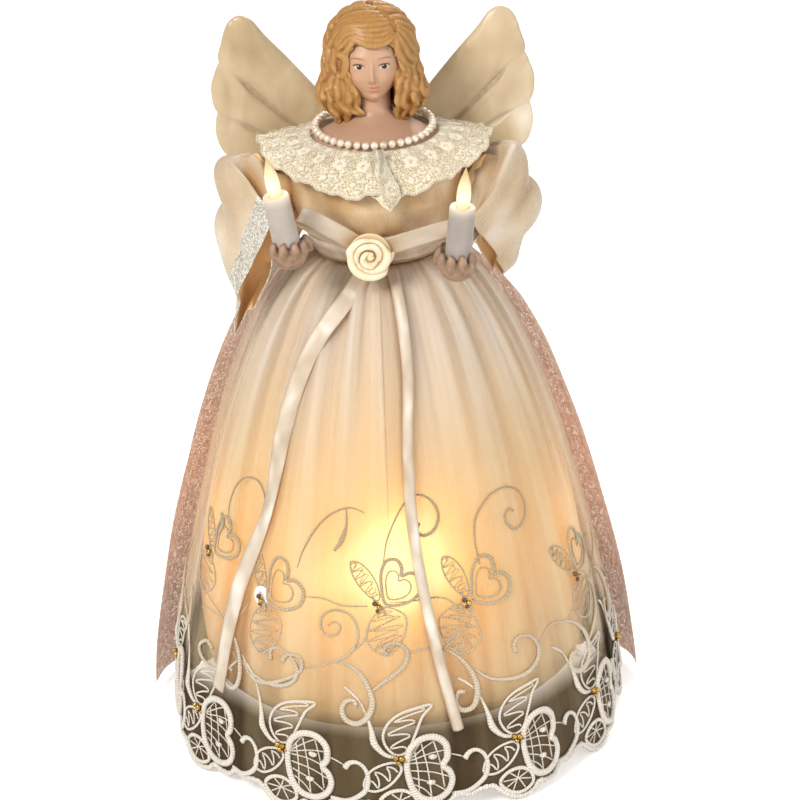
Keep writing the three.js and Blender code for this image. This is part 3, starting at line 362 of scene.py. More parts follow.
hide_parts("underskirt")

# ---- Overskirt ----
# One width of cream organza, cut to a scalloped hem, seamed into a tube and gathered into the same waist
# seam. It hangs free over the satin, so its soft folds show as paler stripes where the sheer cloth doubles.
GOWN_HEM = -30.0
HEM_RADIUS = 93.0
HEM_REPEAT = 30.0  # degrees round for each of the twelve scallops
hem_edge = np.array([(-24.35, -20.2), (-20, -21.4), (-15.5, -20), (-10.5, -19.6), (-7.5, -22), (-3.5, -25.2),
                     (1.5, -26.6), (6.5, -25.4), (9.5, -22.8), (14, -23.8), (18.5, -23.6), (21.5, -21.2),
                     (24.35, -20.2)])
BEAD_LEVEL = -2.6  # height of the beads at each hem butterfly's middle


def run_of(line):
    """How far along a line of points each of them is."""
    return np.concatenate([[0], np.cumsum(np.linalg.norm(np.diff(line, axis=0), axis=1))])


def curve_between(a, b, c, d, share):
    """Between b and c on the smooth curve through four points."""
    bend, turn = 2 * a - 5 * b + 4 * c - d, 3 * b - a - 3 * c + d
    return 0.5 * (2 * b + (c - a) * share + bend * share**2 + turn * share**3)


def smooth_line(points, step, closed=False):
    """A smooth curve through points, as points about a step apart."""
    points = np.asarray(points, float)
    if closed:
        ring = np.vstack([points[-1:], points, points[:2]])
    else:
        ring = np.vstack([2 * points[0] - points[1], points, 2 * points[-1] - points[-2]])
    share = np.linspace(0, 1, 13)[:-1, None]
    parts = [curve_between(*four, share) for four in zip(ring[:-3], ring[1:-2], ring[2:-1], ring[3:])]
    line = np.vstack(parts + [ring[-2:-1]])
    run = run_of(line)
    count = max(3, int(round(run[-1] / step)) + 1)
    at = np.linspace(0, run[-1], count)
    return np.stack([np.interp(at, run, line[:, k]) for k in range(line.shape[1])], 1)


hem_line = smooth_line(hem_edge, 0.5)


def hem_height(angle):
    """The scalloped edge's height all round."""
    repeat = math.radians(HEM_REPEAT)
    across = ((angle + repeat / 2) % repeat - repeat / 2) * HEM_RADIUS
    return BEAD_LEVEL + np.interp(across, hem_line[:, 0], hem_line[:, 1])


def over_radius(z):
    """The organza's bell, which lies at least a little apart from the satin."""
    apart = np.minimum(2.9, 1.4 + (WAIST - z) / 4)
    return np.maximum(bell(z, WAIST, GOWN_HEM, 25.0, HEM_RADIUS), under_radius(np.maximum(z, 0)) + apart)


def over_surface(angle, z, lift=0.0):
    """A point of the overskirt's outside, lift mm clear of it."""
    radius = over_radius(z) + 2.6 * waist_fade(z) * drape(angle)
    radius = radius + pleats(angle, z, 26, 120) + 0.3 * pleats(angle, z, 61, 80)
    return around(angle, radius + lift, z)


def overskirt_place(u, v):
    angle = 2 * np.pi * u
    z = WAIST + (hem_height(angle) - WAIST) * v**1.5
    return over_surface(angle, z)


overskirt = lay_cloth("overskirt_organza", 360, 110, overskirt_place, (584, 250), closed=True)
thicken(overskirt, 0.16)


def colour_of(finish):
    """What colours a finish up to now, to be changed further."""
    return surface_of(finish).inputs["Base Color"].links[0].from_socket


def blend_colours(amount, first, second):
    """One colour laid over another: colours are dyes or other nodes' outputs."""
    made = node(amount, "Mix", data_type="RGBA")
    for socket, value in (("Factor", amount), ("A", first), ("B", second)):
        target = [s for s in made.inputs if s.name == socket and s.enabled][0]
        if isinstance(value, bpy.types.NodeSocket):
            tree_of(amount).links.new(value, target)
        else:
            target.default_value = dye(value)
    return [s for s in made.outputs if s.enabled][0]


def with_painted_crease_shade(colour, deep, reach):
    """Painted shade: a colour darkened towards deep in creases, by how closed in each spot is within reach mm."""
    closed_in = node(colour, "AmbientOcclusion", {"Distance": reach * MM}, samples=6).outputs["AO"]
    return blend_colours(ranged(closed_in, 0.35, 0.95), deep, colour)


def see_through(finish, cover, gaps):
    """Shows the cloth where its cover is 1, and what is behind it, through the gaps, where it is 0."""
    mixed = node(finish, "MixShader", {0: cover, 1: gaps.outputs[0], 2: surface_of(finish).outputs[0]})
    node_out = tree_of(finish).nodes["Material Output"]
    tree_of(finish).links.new(mixed.outputs[0], node_out.inputs["Surface"])


def sheer_finish(name, colours, least, most, tints_and_painted_shade, levels, stripe, at_hem=1.0, folds=()):
    """Sheer cloth, threads with gaps between them. What shows through is tinted, darker low down as painted
    shade.
    """
    finish = new_finish(name, 0.55, Sheen_Weight=0.5)
    spot = place_of(finish)
    low, high = levels
    tint_and_painted_shade = graded(ranged(spot["Z"], low, high), [(0.0, tints_and_painted_shade[0]), (1.0, tints_and_painted_shade[1])])
    gaps = node(finish, "BsdfTransparent", {"Color": tint_and_painted_shade})
    streak = speckle(finish, stripe, "UV", (5, 0.3, 1), detail=2.0)
    fine = times(threads(finish, 0.5, "X"), threads(finish, 0.5, "Y"))
    cover = plus(ranged(streak, 0.36, 0.68, least, most), times(fine, 0.08))
    turn = maths("ARCTAN2", spot["X"], times(spot["Y"], -1.0))
    for degrees, wide, doubled in folds:
        off = maths("DIVIDE", minus(turn, math.radians(degrees)), math.radians(wide))
        fold = maths("EXPONENT", times(times(off, off), -1.0))
        cover = plus(cover, times(fold, ranged(spot["Z"], 0.05, 0.15, 0.0, doubled)))
    cover = times(cover, ranged(spot["Z"], low, high + 0.008, at_hem, 1.0))
    wire_to(with_painted_crease_shade(graded(streak, [(0.3, colours[0]), (0.7, colours[1])]), "#CDA26C", 6), "Base Color")
    emboss(streak, 0.25)
    see_through(finish, cover, gaps)
    return finish


# Where the organza lies double in a broad fold: degrees round, half-width in degrees and cover added
broad_folds = [(-33, 4.5, 0.3), (-14, 3.5, 0.25), (8, 3.0, 0.3), (24, 4.5, 0.4), (40, 4.0, 0.3), (62, 5.0, 0.25),
               (-62, 5.0, 0.25)]
# Low down the gaps show a dark grey-brown, and at_hem thins the cover there: painted shade under the skirt.
organza = sheer_finish("cream organza", ("#F2E9DA", "#FBF6EC"), 0.05, 0.5, ("#8E7F6E", "#FFFFFF"),
                       (0.004, 0.014), 85, at_hem=0.3, folds=broad_folds)
# Low on the skirt the lamps within warm its colour
organza_colour_with_crease_shade = colour_of(organza)
lamplit = graded(speckle(organza, 40), [(0.3, "#EBD2A0"), (0.7, "#F6E2B8")])
wire_to(blend_colours(ranged(place_of(organza)["Z"], 0.095, 0.15), lamplit, organza_colour_with_crease_shade), "Base Color")
overskirt.data.materials.append(organza)
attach(overskirt, "figure")
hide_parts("overskirt")

# ---- Embroidery ----
# Machine embroidery in thick silky thread on the organza: curling vines, butterflies with one satin-stitched
# wing and two of open net, and heavy scrolls above the hem. Each butterfly has beads sewn at its middle.


def built(name, points, faces, marks=()):
    """A piece from points in mm and faces, with its outside found; marks is its UV map, if it has one."""
    mesh = bpy.data.meshes.new(name)
    mesh.from_pydata((points * MM).tolist(), [], faces)
    if len(marks):
        mesh.uv_layers.new(name="UVMap").data.foreach_set("uv", np.array(marks, float).ravel())
    mesh.update()
    piece = bpy.data.objects.new(name, mesh)
    bpy.context.collection.objects.link(piece)
    pick(piece)
    on_whole_mesh(bpy.ops.mesh.normals_make_consistent, inside=False)
    bpy.ops.object.shade_smooth()
    return piece


def stitched(name, runs, sides=6):
    """One mesh of many threads, each as its points, ways across and out, half-widths and half-heights."""
    points, faces, marks, first = [], [], [], 0
    turns = 2 * np.pi * np.arange(sides) / sides
    for line, across, out, wide, high in runs:
        sideways = across[:, None] * (wide[:, None] * np.cos(turns))[..., None]
        ring = line[:, None] + sideways + out[:, None] * (high[:, None] * np.sin(turns))[..., None]
        points.append(ring.reshape(-1, 3))
        far = run_of(line)
        last = first + (len(line) - 1) * sides
        for k, a in enumerate(range(first, last, sides)):
            for i in range(sides):
                n = (i + 1) % sides
                faces.append((a + i, a + n, a + sides + n, a + sides + i))
                marks.extend([(i, far[k]), (i + 1, far[k]), (i + 1, far[k + 1]), (i, far[k + 1])])
        faces.append(tuple(first + i for i in reversed(range(sides))))
        marks.extend([(i, far[0]) for i in reversed(range(sides))])
        faces.append(tuple(last + i for i in range(sides)))
        marks.extend([(i, far[-1]) for i in range(sides)])
        first = last + sides
    return built(name, np.vstack(points), faces, marks)


def on_surface(surface, angle, z, wide, high, lift=0.0):
    """A run of thread that lies on a surface of angle and height."""
    line = np.stack(surface(angle, z, lift + high), 1)
    out = np.stack(surface(angle, z, lift + high + 1), 1) - line
    along = np.gradient(line, axis=0)
    along /= np.linalg.norm(along, axis=1)[:, None] + 1e-9
    out -= along * (out * along).sum(1)[:, None]
    out /= np.linalg.norm(out, axis=1)[:, None] + 1e-9
    return line, np.cross(out, along), out, wide, high


def widths_along(line, widths):
    """Half-widths given at even steps, read at each point of a line."""
    return np.interp(np.linspace(0, 1, len(line)), np.linspace(0, 1, len(widths)), widths)


def vine(points, widths, shift=0.0):
    """A thread through points of (degrees, height) with half-widths along it."""
    mm_per_degree = (1.45, 1)
    line = smooth_line(np.array(points, float) * mm_per_degree, 1.1) / mm_per_degree
    wide = widths_along(line, widths)
    return on_surface(over_surface, np.radians(line[:, 0] + shift), line[:, 1], wide, wide * 0.7, 0.1)


def motif(points, widths, centre, step=0.8, closed=False, lift=0.1, lean=0.0, size=1.0):
    """A thread drawn in mm about a motif's middle, (degrees, height)."""
    line = smooth_line(points, step, closed) * size
    c, s = math.cos(lean), math.sin(lean)
    x, y = line[:, 0] * c - line[:, 1] * s, line[:, 0] * s + line[:, 1] * c
    wide = widths_along(line, widths)
    z = centre[1] + y
    angle = math.radians(centre[0]) + x / over_radius(z)
    return on_surface(over_surface, angle, z, wide, wide * 0.7, lift)


def net_fill(outline, rows, edge=0.86):
    """A squiggle that fills a leaf, going from side to side between its root and its tip."""
    line = smooth_line(outline, 0.5)
    half = len(line) // 2
    left, right = line[:half], line[::-1][:half]
    share = np.linspace(0.06, 0.94, rows * 6)
    side = 0.5 + 0.5 * edge * np.sin(np.pi * share * rows)
    place = share * (half - 1)
    read = lambda half_line: np.stack([np.interp(place, np.arange(half), half_line[:, k]) for k in (0, 1)], 1)
    wobble = 0.35 * np.cos(np.pi * share * rows * 2)[:, None]
    return read(left) * (1 - side)[:, None] + read(right) * side[:, None] + wobble


# A butterfly's parts, in mm about its middle
heart = [(3, 0.5), (2.5, 6), (3, 12), (5.5, 16.3), (9.3, 16), (10.8, 12.5), (10.4, 9.6), (14, 9.8), (17.3, 6.5),
         (16.8, 1.8), (12.5, -0.8), (6.5, -1)]
net_wing = [(0, 1.5), (-4, 4.6), (-7.4, 9.5), (-8.6, 13.4), (-8.2, 16.4), (-4.6, 15.8), (-1.4, 12.6), (0.8, 8),
            (1.4, 3)]
low_wing = [(1.2, -1.5), (-3.8, -7), (-5.6, -13.6), (-2.6, -18.2), (2.6, -19.6), (8.6, -13.4), (10.2, -6.6),
            (6.4, -2.6), (2, -1)]
# Where the upper butterflies sit: degrees round, height, lean, size and which way the low wing opens
upper_middles = [(-63, 63, 0.05, 0.9, -1), (-39.3, 53.5, 0.0, 1.1, 1), (-4.1, 58.5, 0.1, 1.0, 1),
                 (20.9, 54.8, -0.1, 1.05, -1), (61.5, 47.0, 0.15, 1.0, 1)]
# A thread's half-width from end to end, in mm
thin = [0.14, 0.30, 0.34, 0.30, 0.2]
heavy = [0.35, 0.75, 1.05, 1.15, 1.0, 0.8]
# The vines of one half of the skirt, as points of (degrees round, height) with half-widths
front_vines = [
    ([(-27.9, 69.4), (-26.3, 76.8), (-22.7, 85.4), (-18.2, 91), (-12.4, 94.2), (-7.5, 93)], thin),
    ([(-13.2, 93.6), (-13.2, 87), (-14.8, 81), (-16.8, 77.4)], [0.2, 0.4, 0.95, 0.5]),
    ([(-2.1, 74.2), (-0.8, 83), (2.6, 92), (6.6, 97.4), (11.2, 97.4), (14.8, 93.2), (15.7, 88), (13.7, 83.6),
      (10.3, 82.4), (8.4, 84.6), (9.4, 87.4)], [0.2, 0.28, 0.3, 0.34, 0.5, 0.7, 0.45]),
    ([(26.4, 68.4), (26, 76.6), (26.8, 84.6), (29.4, 89.8), (33.6, 93.6), (40, 93.8), (45.9, 89.6), (47.8, 83),
      (45.6, 78.4), (41.1, 76.8), (37.8, 79.6), (37.2, 83.6), (39.5, 85.4), (41.2, 83.8)],
     [0.3, 0.4, 0.4, 0.32, 0.36, 0.45, 0.5, 0.4]),
    ([(-42.5, 77), (-43.6, 83), (-43.2, 89), (-45.4, 93.6), (-50, 96.6), (-54.6, 95.2), (-57.5, 90.4),
      (-58.6, 83), (-57.6, 76)], thin),
    ([(-61, 79), (-59.4, 75.4), (-60.8, 70)], [0.7, 0.9, 0.4]),
    ([(-25.3, 58.4), (-19.8, 58.6), (-14.1, 56.8), (-6.8, 57.6)], thin),
    ([(-0.7, 59.4), (5.1, 58.8), (13.2, 57.9), (17.2, 55), (19.1, 50), (18.3, 45.4), (16.5, 42.2), (13.1, 37.6)],
     thin),
    ([(-18, 48.2), (-16, 50.2), (-14.4, 48.4), (-15.5, 45.2), (-18.4, 44.6), (-20.1, 47.8), (-19.5, 52),
      (-16.5, 54.6), (-12.6, 54.2), (-10.2, 51), (-9.4, 46.4), (-10.3, 41.6), (-12.6, 37), (-16.2, 34.2)],
     [0.3, 0.42, 0.5, 0.42, 0.3]),
    ([(-6.3, 50), (-7.5, 44.8), (-10.4, 40.2), (-13.3, 36.6), (-16.2, 34.4), (-19.8, 32.2), (-24.6, 30.2)], thin),
    ([(-30.4, 31.6), (-29.6, 34.2), (-27.4, 35.2), (-25.4, 34.2), (-24.8, 31), (-26, 28), (-29.4, 24.8),
      (-34, 21.6), (-38.4, 20.2), (-42, 21.6), (-44.8, 25.2)], [0.75, 0.6, 0.7, 0.8, 0.6, 0.4]),
    ([(-16.2, 34.2), (-12.1, 33.8), (-8.7, 30.6), (-6.6, 25), (-5.9, 19.2), (-7.3, 13.8), (-10, 10.8),
      (-12.9, 12), (-13.8, 16), (-12.5, 19.6), (-10.5, 19.8), (-10.3, 17.6)], heavy),
    ([(-6.2, 24), (-3.4, 27.8), (-0.4, 31), (2.6, 35), (3.4, 39.6), (1.6, 43), (-1, 43.6), (-2.6, 41),
      (-1.4, 39)], [0.4, 0.7, 0.85, 0.75, 0.8, 0.6]),
    ([(3.3, 38.6), (7.2, 39.4), (13.1, 37.8)], thin),
    ([(22.3, 51), (21.4, 47), (18.9, 42.6), (15.6, 39.4), (13.1, 37.8)], thin),
    ([(13.1, 37.6), (16.5, 34.6), (19.4, 29.6), (21.2, 23.6), (21.4, 17.6), (19.9, 12.6), (17, 12), (15.4, 15.6),
      (16.4, 19.4), (18.2, 19)], heavy),
    ([(33, 31.2), (32.7, 34.6), (34.6, 36.6), (38.4, 34.8), (40.8, 30), (40.2, 25.2), (37.2, 22.2), (32.9, 21.2),
      (28.7, 21.6), (24.9, 23.2), (21.6, 27.2)], [0.8, 0.55, 0.8, 0.9, 0.6, 0.45]),
    ([(41.3, 29.4), (45.4, 33), (49.4, 33.6), (53.9, 31.6), (58, 34), (59.8, 39.8)], thin),
    ([(52, 32.4), (56.8, 29.6), (60.4, 23.6), (61.4, 16.6), (59.6, 10.8), (56, 9), (53, 12.4), (53.6, 16.8),
      (56, 17.4), (57, 15)], heavy),
    ([(61, 18), (65.5, 22), (70.5, 28), (72, 35), (68.5, 41)], [0.7, 0.8, 0.55, 0.4]),
    ([(-46, 22), (-50.2, 27.6), (-52, 34), (-56, 40), (-61.6, 45)], thin),
    ([(-47, 24), (-51, 18.6), (-55.6, 16.4), (-60.2, 18.6), (-61.8, 23), (-59, 26.6), (-56.6, 24.4)],
     [0.45, 0.7, 0.8, 0.7, 0.8]),
]
forks = front_vines[13:17]  # these also fill the sides, between the front and the back
butterfly_body = [(-1.6, 3.2), (0.2, 0.6), (1.6, -1.4), (2.6, -3.6)]
stitches = []


def stitch(points, widths, **more):
    """One thread of a butterfly, about its middle."""
    stitches.append(motif(points, widths, at, lean=lean, size=size, **more))


for half_turn in (0, 180):
    for points, widths in front_vines:
        stitches.append(vine(points, [1.12 * w for w in widths], shift=half_turn))
    for extra in (67, -67):
        for points, widths in forks:
            stitches.append(vine(points, widths, shift=half_turn + extra))
    for degrees, level, lean, size, low_side in upper_middles:
        at = (degrees + half_turn, level)
        stitch(heart, [0.6, 0.78, 0.6], closed=True)
        stitch(np.array(heart) * 0.62 + (2.6, 1.8), [0.3, 0.34], closed=True)
        for wing, rows in ((net_wing, 9), (np.array(low_wing) * (low_side, 1), 10)):
            stitch(wing, [0.28, 0.36, 0.28], step=1.0, closed=True)
            stitch(net_fill(wing, rows + 3), [0.17, 0.17], lift=0.05)
            stitch(net_fill(wing, rows - 2, 0.6), [0.16, 0.16], lift=0.2)
        stitch(butterfly_body, [0.4, 0.9, 0.5], lift=0.3)
embroidery = stitched("skirt_embroidery", stitches)


def silk_finish(name, stops, shine, ply="#A08A68"):
    """Twisted embroidery thread: slanting plies across each thread, and a colour that changes with height,
    partly painted shade.
    """
    finish = new_finish(name, 0.45, Sheen_Weight=0.4)
    level = ranged(place_of(finish)["Z"], GOWN_HEM * MM, 0.10)
    slant = {"Vector": where(finish, "UV", (0.167, 1, 1)), "Scale": 0.52}
    plies = node(finish, "TexWave", slant, bands_direction="DIAGONAL").outputs["Fac"]
    wear = times(minus(speckle(finish, 5), 0.5), 0.2)
    body = graded(plus(level, wear, clamp=True), stops)
    wire_to(blend_colours(ranged(plies, 0.0, 1.0, 0.0, 0.28), body, ply), "Base Color")
    wire_to(ranged(plies, 0.0, 1.0, shine, shine + 0.2), "Roughness")
    emboss(plies, 0.4)
    return finish


# Higher up the thread darkens to tan: partly its own silvery beige, partly painted shade where it stands against
# the glowing satin.
silk = silk_finish("silky embroidery thread",
                   [(0.0, "#F6EEDF"), (0.28, "#EFE4D0"), (0.45, "#E2D5BE"), (0.7, "#CBBA99"), (1.0, "#B8A27C")],
                   0.35)
embroidery.data.materials.append(silk)
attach(embroidery, "figure")

# ---- Cutwork hem ----
# The hem is a deep band of cutwork lace: twelve butterflies with a leaf wing, a heart wing of bars and knots,
# and a small medallion under each, joined by curls. A thick whipped cord finishes the scalloped edge.
leaf = [(-0.6, 1), (-4.4, 4.6), (-5.4, 9.6), (-2.6, 15), (3.4, 18.6), (13.6, 19.4), (9.8, 15.2), (6.8, 8.6),
        (3.6, 2.4)]
low_leaf = [(-0.8, -2.2), (-6.6, -3.2), (-11.6, -7), (-13.6, -13), (-9, -14.4), (-3, -11), (1, -5.4)]
big_heart = [(3.2, -1.6), (4.6, 3.4), (9, 6.6), (14.6, 6.2), (18.8, 2.4), (19.4, -3), (17.6, -6.4), (20.2, -9.4),
             (21.2, -13.6), (19, -18), (14.2, -20), (8.8, -18.4), (5, -13.4), (3.4, -7)]
medal = [(-7.4, -18.2), (-5.4, -21.8), (-1.6, -24.2), (2.8, -24.2), (6.6, -21.6), (5.6, -17), (1.4, -14),
         (-3.8, -14.6)]
hem_runs = []


def draw(points, widths, **more):
    """One thread of a hem repeat, about its middle."""
    hem_runs.append(motif(points, widths, at, **more))


for at in [(k * HEM_REPEAT, BEAD_LEVEL) for k in range(12)]:
    draw(leaf, [0.55, 0.62, 0.55], closed=True)
    draw(net_fill(leaf, 9, 0.7), [0.42, 0.42], step=0.9)
    draw(low_leaf, [0.55, 0.6], closed=True)
    draw(net_fill(low_leaf, 7, 0.7), [0.4, 0.4], step=0.9)
    draw([(-13.6, 22), (-11.4, 16.8), (-9.8, 11.2), (-8.8, 6), (-5.2, 1.6), (-0.8, 0)],
         [0.4, 0.5, 0.9, 1.5, 1.0, 0.6])
    draw(big_heart, [1.3, 1.55, 1.3, 1.5, 1.25], closed=True, step=1.0)
    draw(medal, [0.75, 0.85], closed=True)
    for first, last in (((4, -1), (9.5, 5.8)), ((4, -1.5), (15.5, 5)), ((4, -2), (19, -0.5)),
                        ((4, -3), (17.5, -6.4)), ((4.2, -6), (20, -12)), ((4.6, -9), (18.5, -17.6)),
                        ((5.4, -12), (13, -19.6)), ((9, 4.6), (12.5, -19)), ((14, 4.4), (18, -16)),
                        ((6.2, 2), (7.6, -17)), ((-6.4, -18.6), (5.8, -20)), ((-4.8, -21.4), (4.6, -16.6)),
                        ((-3.4, -15.2), (3.2, -23.6)), ((1, -14.6), (-2.4, -23.6))):
        bend = (0.5 * (first[0] + last[0]) + 0.5, 0.5 * (first[1] + last[1]) + 0.7)
        draw([first, bend, last], [0.34, 0.28, 0.34], step=1.6)
    for knot in ((13.4, -1.8), (12.4, -12.4)):
        run = [(knot[0] - 1.6, knot[1] + 0.4), knot, (knot[0] + 1.6, knot[1] - 0.3)]
        draw(run, [0.7, 1.35, 0.7], step=0.6, lift=0.15)
    draw([(26.8, -5.6), (28.6, -3.4), (31.6, -2.8), (34.8, -5), (36.2, -9.4), (35.2, -14.2), (31.6, -17.8),
          (27, -19.8), (21, -19.4)], [1.35, 0.8, 0.95, 1.15, 1.0, 0.8], step=1.0)
    draw([(19.2, -2), (23, -3.4), (27, -5.2)], [0.35, 0.3], step=1.6)
    draw([(-13.6, 22), (-16.6, 25), (-20.2, 27.6)], [0.4, 0.6, 0.4], step=1.4)
edge_angle = np.radians(np.linspace(0, 360, 721))
edge_line = np.stack(over_surface(edge_angle, hem_height(edge_angle), 0.5), 1)
edge_out = np.stack([np.sin(edge_angle), -np.cos(edge_angle), 0 * edge_angle], 1)
edge_along = np.gradient(edge_line, axis=0)
edge_along /= np.linalg.norm(edge_along, axis=1)[:, None]
whip = 1.15 + 0.18 * np.sin(np.arange(721) * 1.9)
hem_runs.append((edge_line, np.cross(edge_out, edge_along), edge_out, whip, whip * 0.7))
hem_lace = stitched("cutwork_hem", hem_runs)
hem_thread = silk_finish("white cutwork thread", [(0.0, "#FFFBF4"), (0.3, "#F9F2E6"), (1.0, "#EFE3CE")], 0.5,
                         "#D5C6AC")
hem_lace.data.materials.append(hem_thread)
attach(hem_lace, "figure")


def join(*pieces):
    """Makes one piece of several, about the frame's own origin."""
    pick(*pieces)
    bpy.ops.object.join()
    bpy.ops.object.transform_apply()
    return bpy.context.object


def beads(name, places, segments=12, rings=8):
    """Round beads of given size, one ball each, at points in mm."""
    made = []
    for x, y, z, radius in places:
        place = (x * MM, y * MM, z * MM)
        bpy.ops.object.select_all(action="DESELECT")
        bpy.ops.mesh.primitive_uv_sphere_add(segments=segments, ring_count=rings, radius=radius * MM,
                                             location=place)
        made.append(bpy.context.object)
    piece = join(*made)
    piece.name = piece.data.name = name
    bpy.ops.object.shade_smooth()
    return piece


def bead_at(degrees, level, dx, dz, radius, lift=0.6):
    """A bead's place on the skirt, dx round and dz up from a motif's middle, and its radius."""
    angle = math.radians(degrees) + dx / float(over_radius(np.array(level)))
    x, y, z = over_surface(np.array([angle]), np.array([level + dz]), lift + radius)
    return float(x[0]), float(y[0]), float(z[0]), radius


gold_places, dark_places = [], []
for half_turn in (0, 180):
    for degrees, level, *_ in upper_middles:
        gold_places.append(bead_at(degrees + half_turn, level, 0.9, -0.3, 1.15))
        dark_places.append(bead_at(degrees + half_turn, level, -0.8, 0.9, 1.05))
        dark_places.append(bead_at(degrees + half_turn, level, 0.1, -1.9, 0.8))
for k in range(12):
    for dx, dz, radius in ((-0.9, 0.6, 1.1), (1.1, 0.2, 1.15), (0.0, -1.5, 0.95), (2.6, -1.2, 0.75)):
        gold_places.append(bead_at(k * HEM_REPEAT, BEAD_LEVEL, dx, dz, radius, 0.8))
gold_beads = beads("gold_beads", gold_places)
dark_beads = beads("brown_beads", dark_places)
gold = moulded("gilt bead", ("#E3BE74", "#A97B33"), 1.6, 0.22, 0.5, 0.05, Metallic=1.0)
brown_glass = moulded("brown glass bead", ("#6B4A2C", "#3E2A1A"), 1.4, 0.15, 0.6, 0.03, Coat_Weight=0.8)
gold_beads.data.materials.append(gold)
dark_beads.data.materials.append(brown_glass)
sequins = []
for degrees in (-39.3, 140.7):
    x, y, z, _ = bead_at(degrees, 54.6, 0, 0, 0.3, 0.35)
    bpy.ops.object.select_all(action="DESELECT")
    bpy.ops.mesh.primitive_cylinder_add(
        vertices=32,
        radius=3.9 * MM,
        depth=0.25 * MM,
        location=(x * MM, y * MM, z * MM),
        rotation=(math.radians(78), 0, math.radians(degrees)),
    )
    sequins.append(bpy.context.object)
    on_whole_mesh(bpy.ops.mesh.bevel, offset=0.08 * MM, segments=2)
sequins = join(*sequins)
sequins.name = sequins.data.name = "pearly_sequins"
sequins.data.materials.append(moulded("pearly sequin", ("#FFFFFF", "#F2EEF2"), 2, 0.18, 0.8, 0.02,
                                      Coat_Weight=0.7))
for piece in (gold_beads, dark_beads, sequins):
    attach(piece, "figure")

# ---- Back cape ----
# A panel of pinkish net with silver glitter fused to it. It is stitched to the back of the waist and hangs
# open over the organza, from one side round the back to the other, in loose upright folds.


def cape_place(u, v):
    down = v**1.6
    top, hem = 175.7, -26
    z = top + (hem - top) * down
    angle = np.pi + (2 * u - 1) * math.radians(80) + 0.012 * np.sin(9 * v * np.pi) * (2 * np.abs(u - 0.5)) ** 3
    free = over_radius(z) + 2.6 * waist_fade(z) + 1.6 + 6 * np.sqrt(down)
    fold = 2.4 * waist_fade(z) * (1 + np.cos(11 * angle + 0.4 * np.sin(3 * angle))) / 2
    crease = 0.8 * np.sin(27 * angle + 2 * v) * waist_fade(z) * (1 - 0.5 * v)
    return around(angle, free + fold + crease, z)


cape = lay_cloth("glitter_net_cape", 260, 110, cape_place, (290, 235))
thicken(cape, 0.2)
glitter_net = sheer_finish("pink net with silver glitter", ("#DCC0AC", "#EAD8CA"), 0.5, 0.8,
                           ("#E2CDC0", "#F0E2D8"), (-0.01, 0.16), 30)
sparks = node(glitter_net, "TexVoronoi", {"Vector": where(glitter_net, "Object"), "Scale": 1500.0})
spark = ranged(node(glitter_net, "SeparateXYZ", {"Vector": sparks.outputs["Color"]}).outputs["X"], 0.80, 0.84)
base = blend_colours(spark, graded(speckle(glitter_net, 2.2), [(0.35, "#CBA78F"), (0.65, "#E6D2C4")]), "#F6F2F2")
# Painted light: the whole net glows a little in its own colour, and its glitter specks glow more, as glints.
wire_to(base, "Base Color", "Emission Color")
wire_to(ranged(spark, 0, 1, 0.2, 0.5), "Emission Strength")
wire_to(ranged(spark, 0, 1, 0.1, 0.7), "Metallic")
wire_to(ranged(spark, 0, 1, 0.6, 0.25), "Roughness")
emboss(sparks.outputs["Distance"], 0.25)
cape.data.materials.append(glitter_net)
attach(cape, "figure")
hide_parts("back_cape")

# ---- Bodice ----
# Ivory satin cut close to the body form, with soft drag lines where it is pulled into the waist. Its raw neck
# edge is hidden by the collar.


def ring_of(angle, wide, front, back):
    """An egg-shaped ring: half-width, depth to the front and depth to the back."""
    facing = np.cos(angle)
    return wide * np.sin(angle), -facing * np.where(facing > 0, front, back)


def bodice_place(u, v):
    """Up from the waist seam (v 0) over the chest to the shoulders, where it turns in (v 0.8 to 1)."""
    angle = 2 * np.pi * u
    grow = [np.interp(v, [0, 0.18, 0.36, 0.58, 0.8, 1.0], steps) for steps in
            ([0.04, 0.28, 0.62, 0.92, 1.0, 0.66], [0, 0.1, 0.72, 1.0, 0.86, -0.1],
             [0, 0.1, 0.6, 0.86, 0.93, -0.9])]
    top = np.clip((v - 0.8) / 0.2, 0, 1)
    wide = np.where(v > 0.8, 36 - 3.9 * top**2, 24.5 + 11.5 * grow[0])
    front = np.where(v > 0.8, 31.8 - 8.2 * top**1.5, 24.5 + 8.5 * grow[1])
    back = np.where(v > 0.8, 24.0 - 6.4 * top**1.5, 24.5 - 0.5 * grow[2])
    x, y = ring_of(angle, wide, front, back)
    z = 176.4 + 41.2 * v
    drag = 0.8 * np.cos(17 * angle + 3 * np.sin(2 * angle)) * np.exp(-(v / 0.42) ** 2) * np.clip(v * 12, 0, 1)
    sweep = 0.8 * np.sin(7 * angle + 7 * v) * np.sin(np.pi * v) ** 2 * np.clip(np.cos(angle), 0, 1)
    grow_out = 1 + (drag + sweep) / 30
    return np.clip(x * grow_out, -33, 33), y * grow_out, z


bodice = lay_cloth("satin_bodice", 200, 60, bodice_place, (190, 43), closed=True)
thicken(bodice, 0.45)


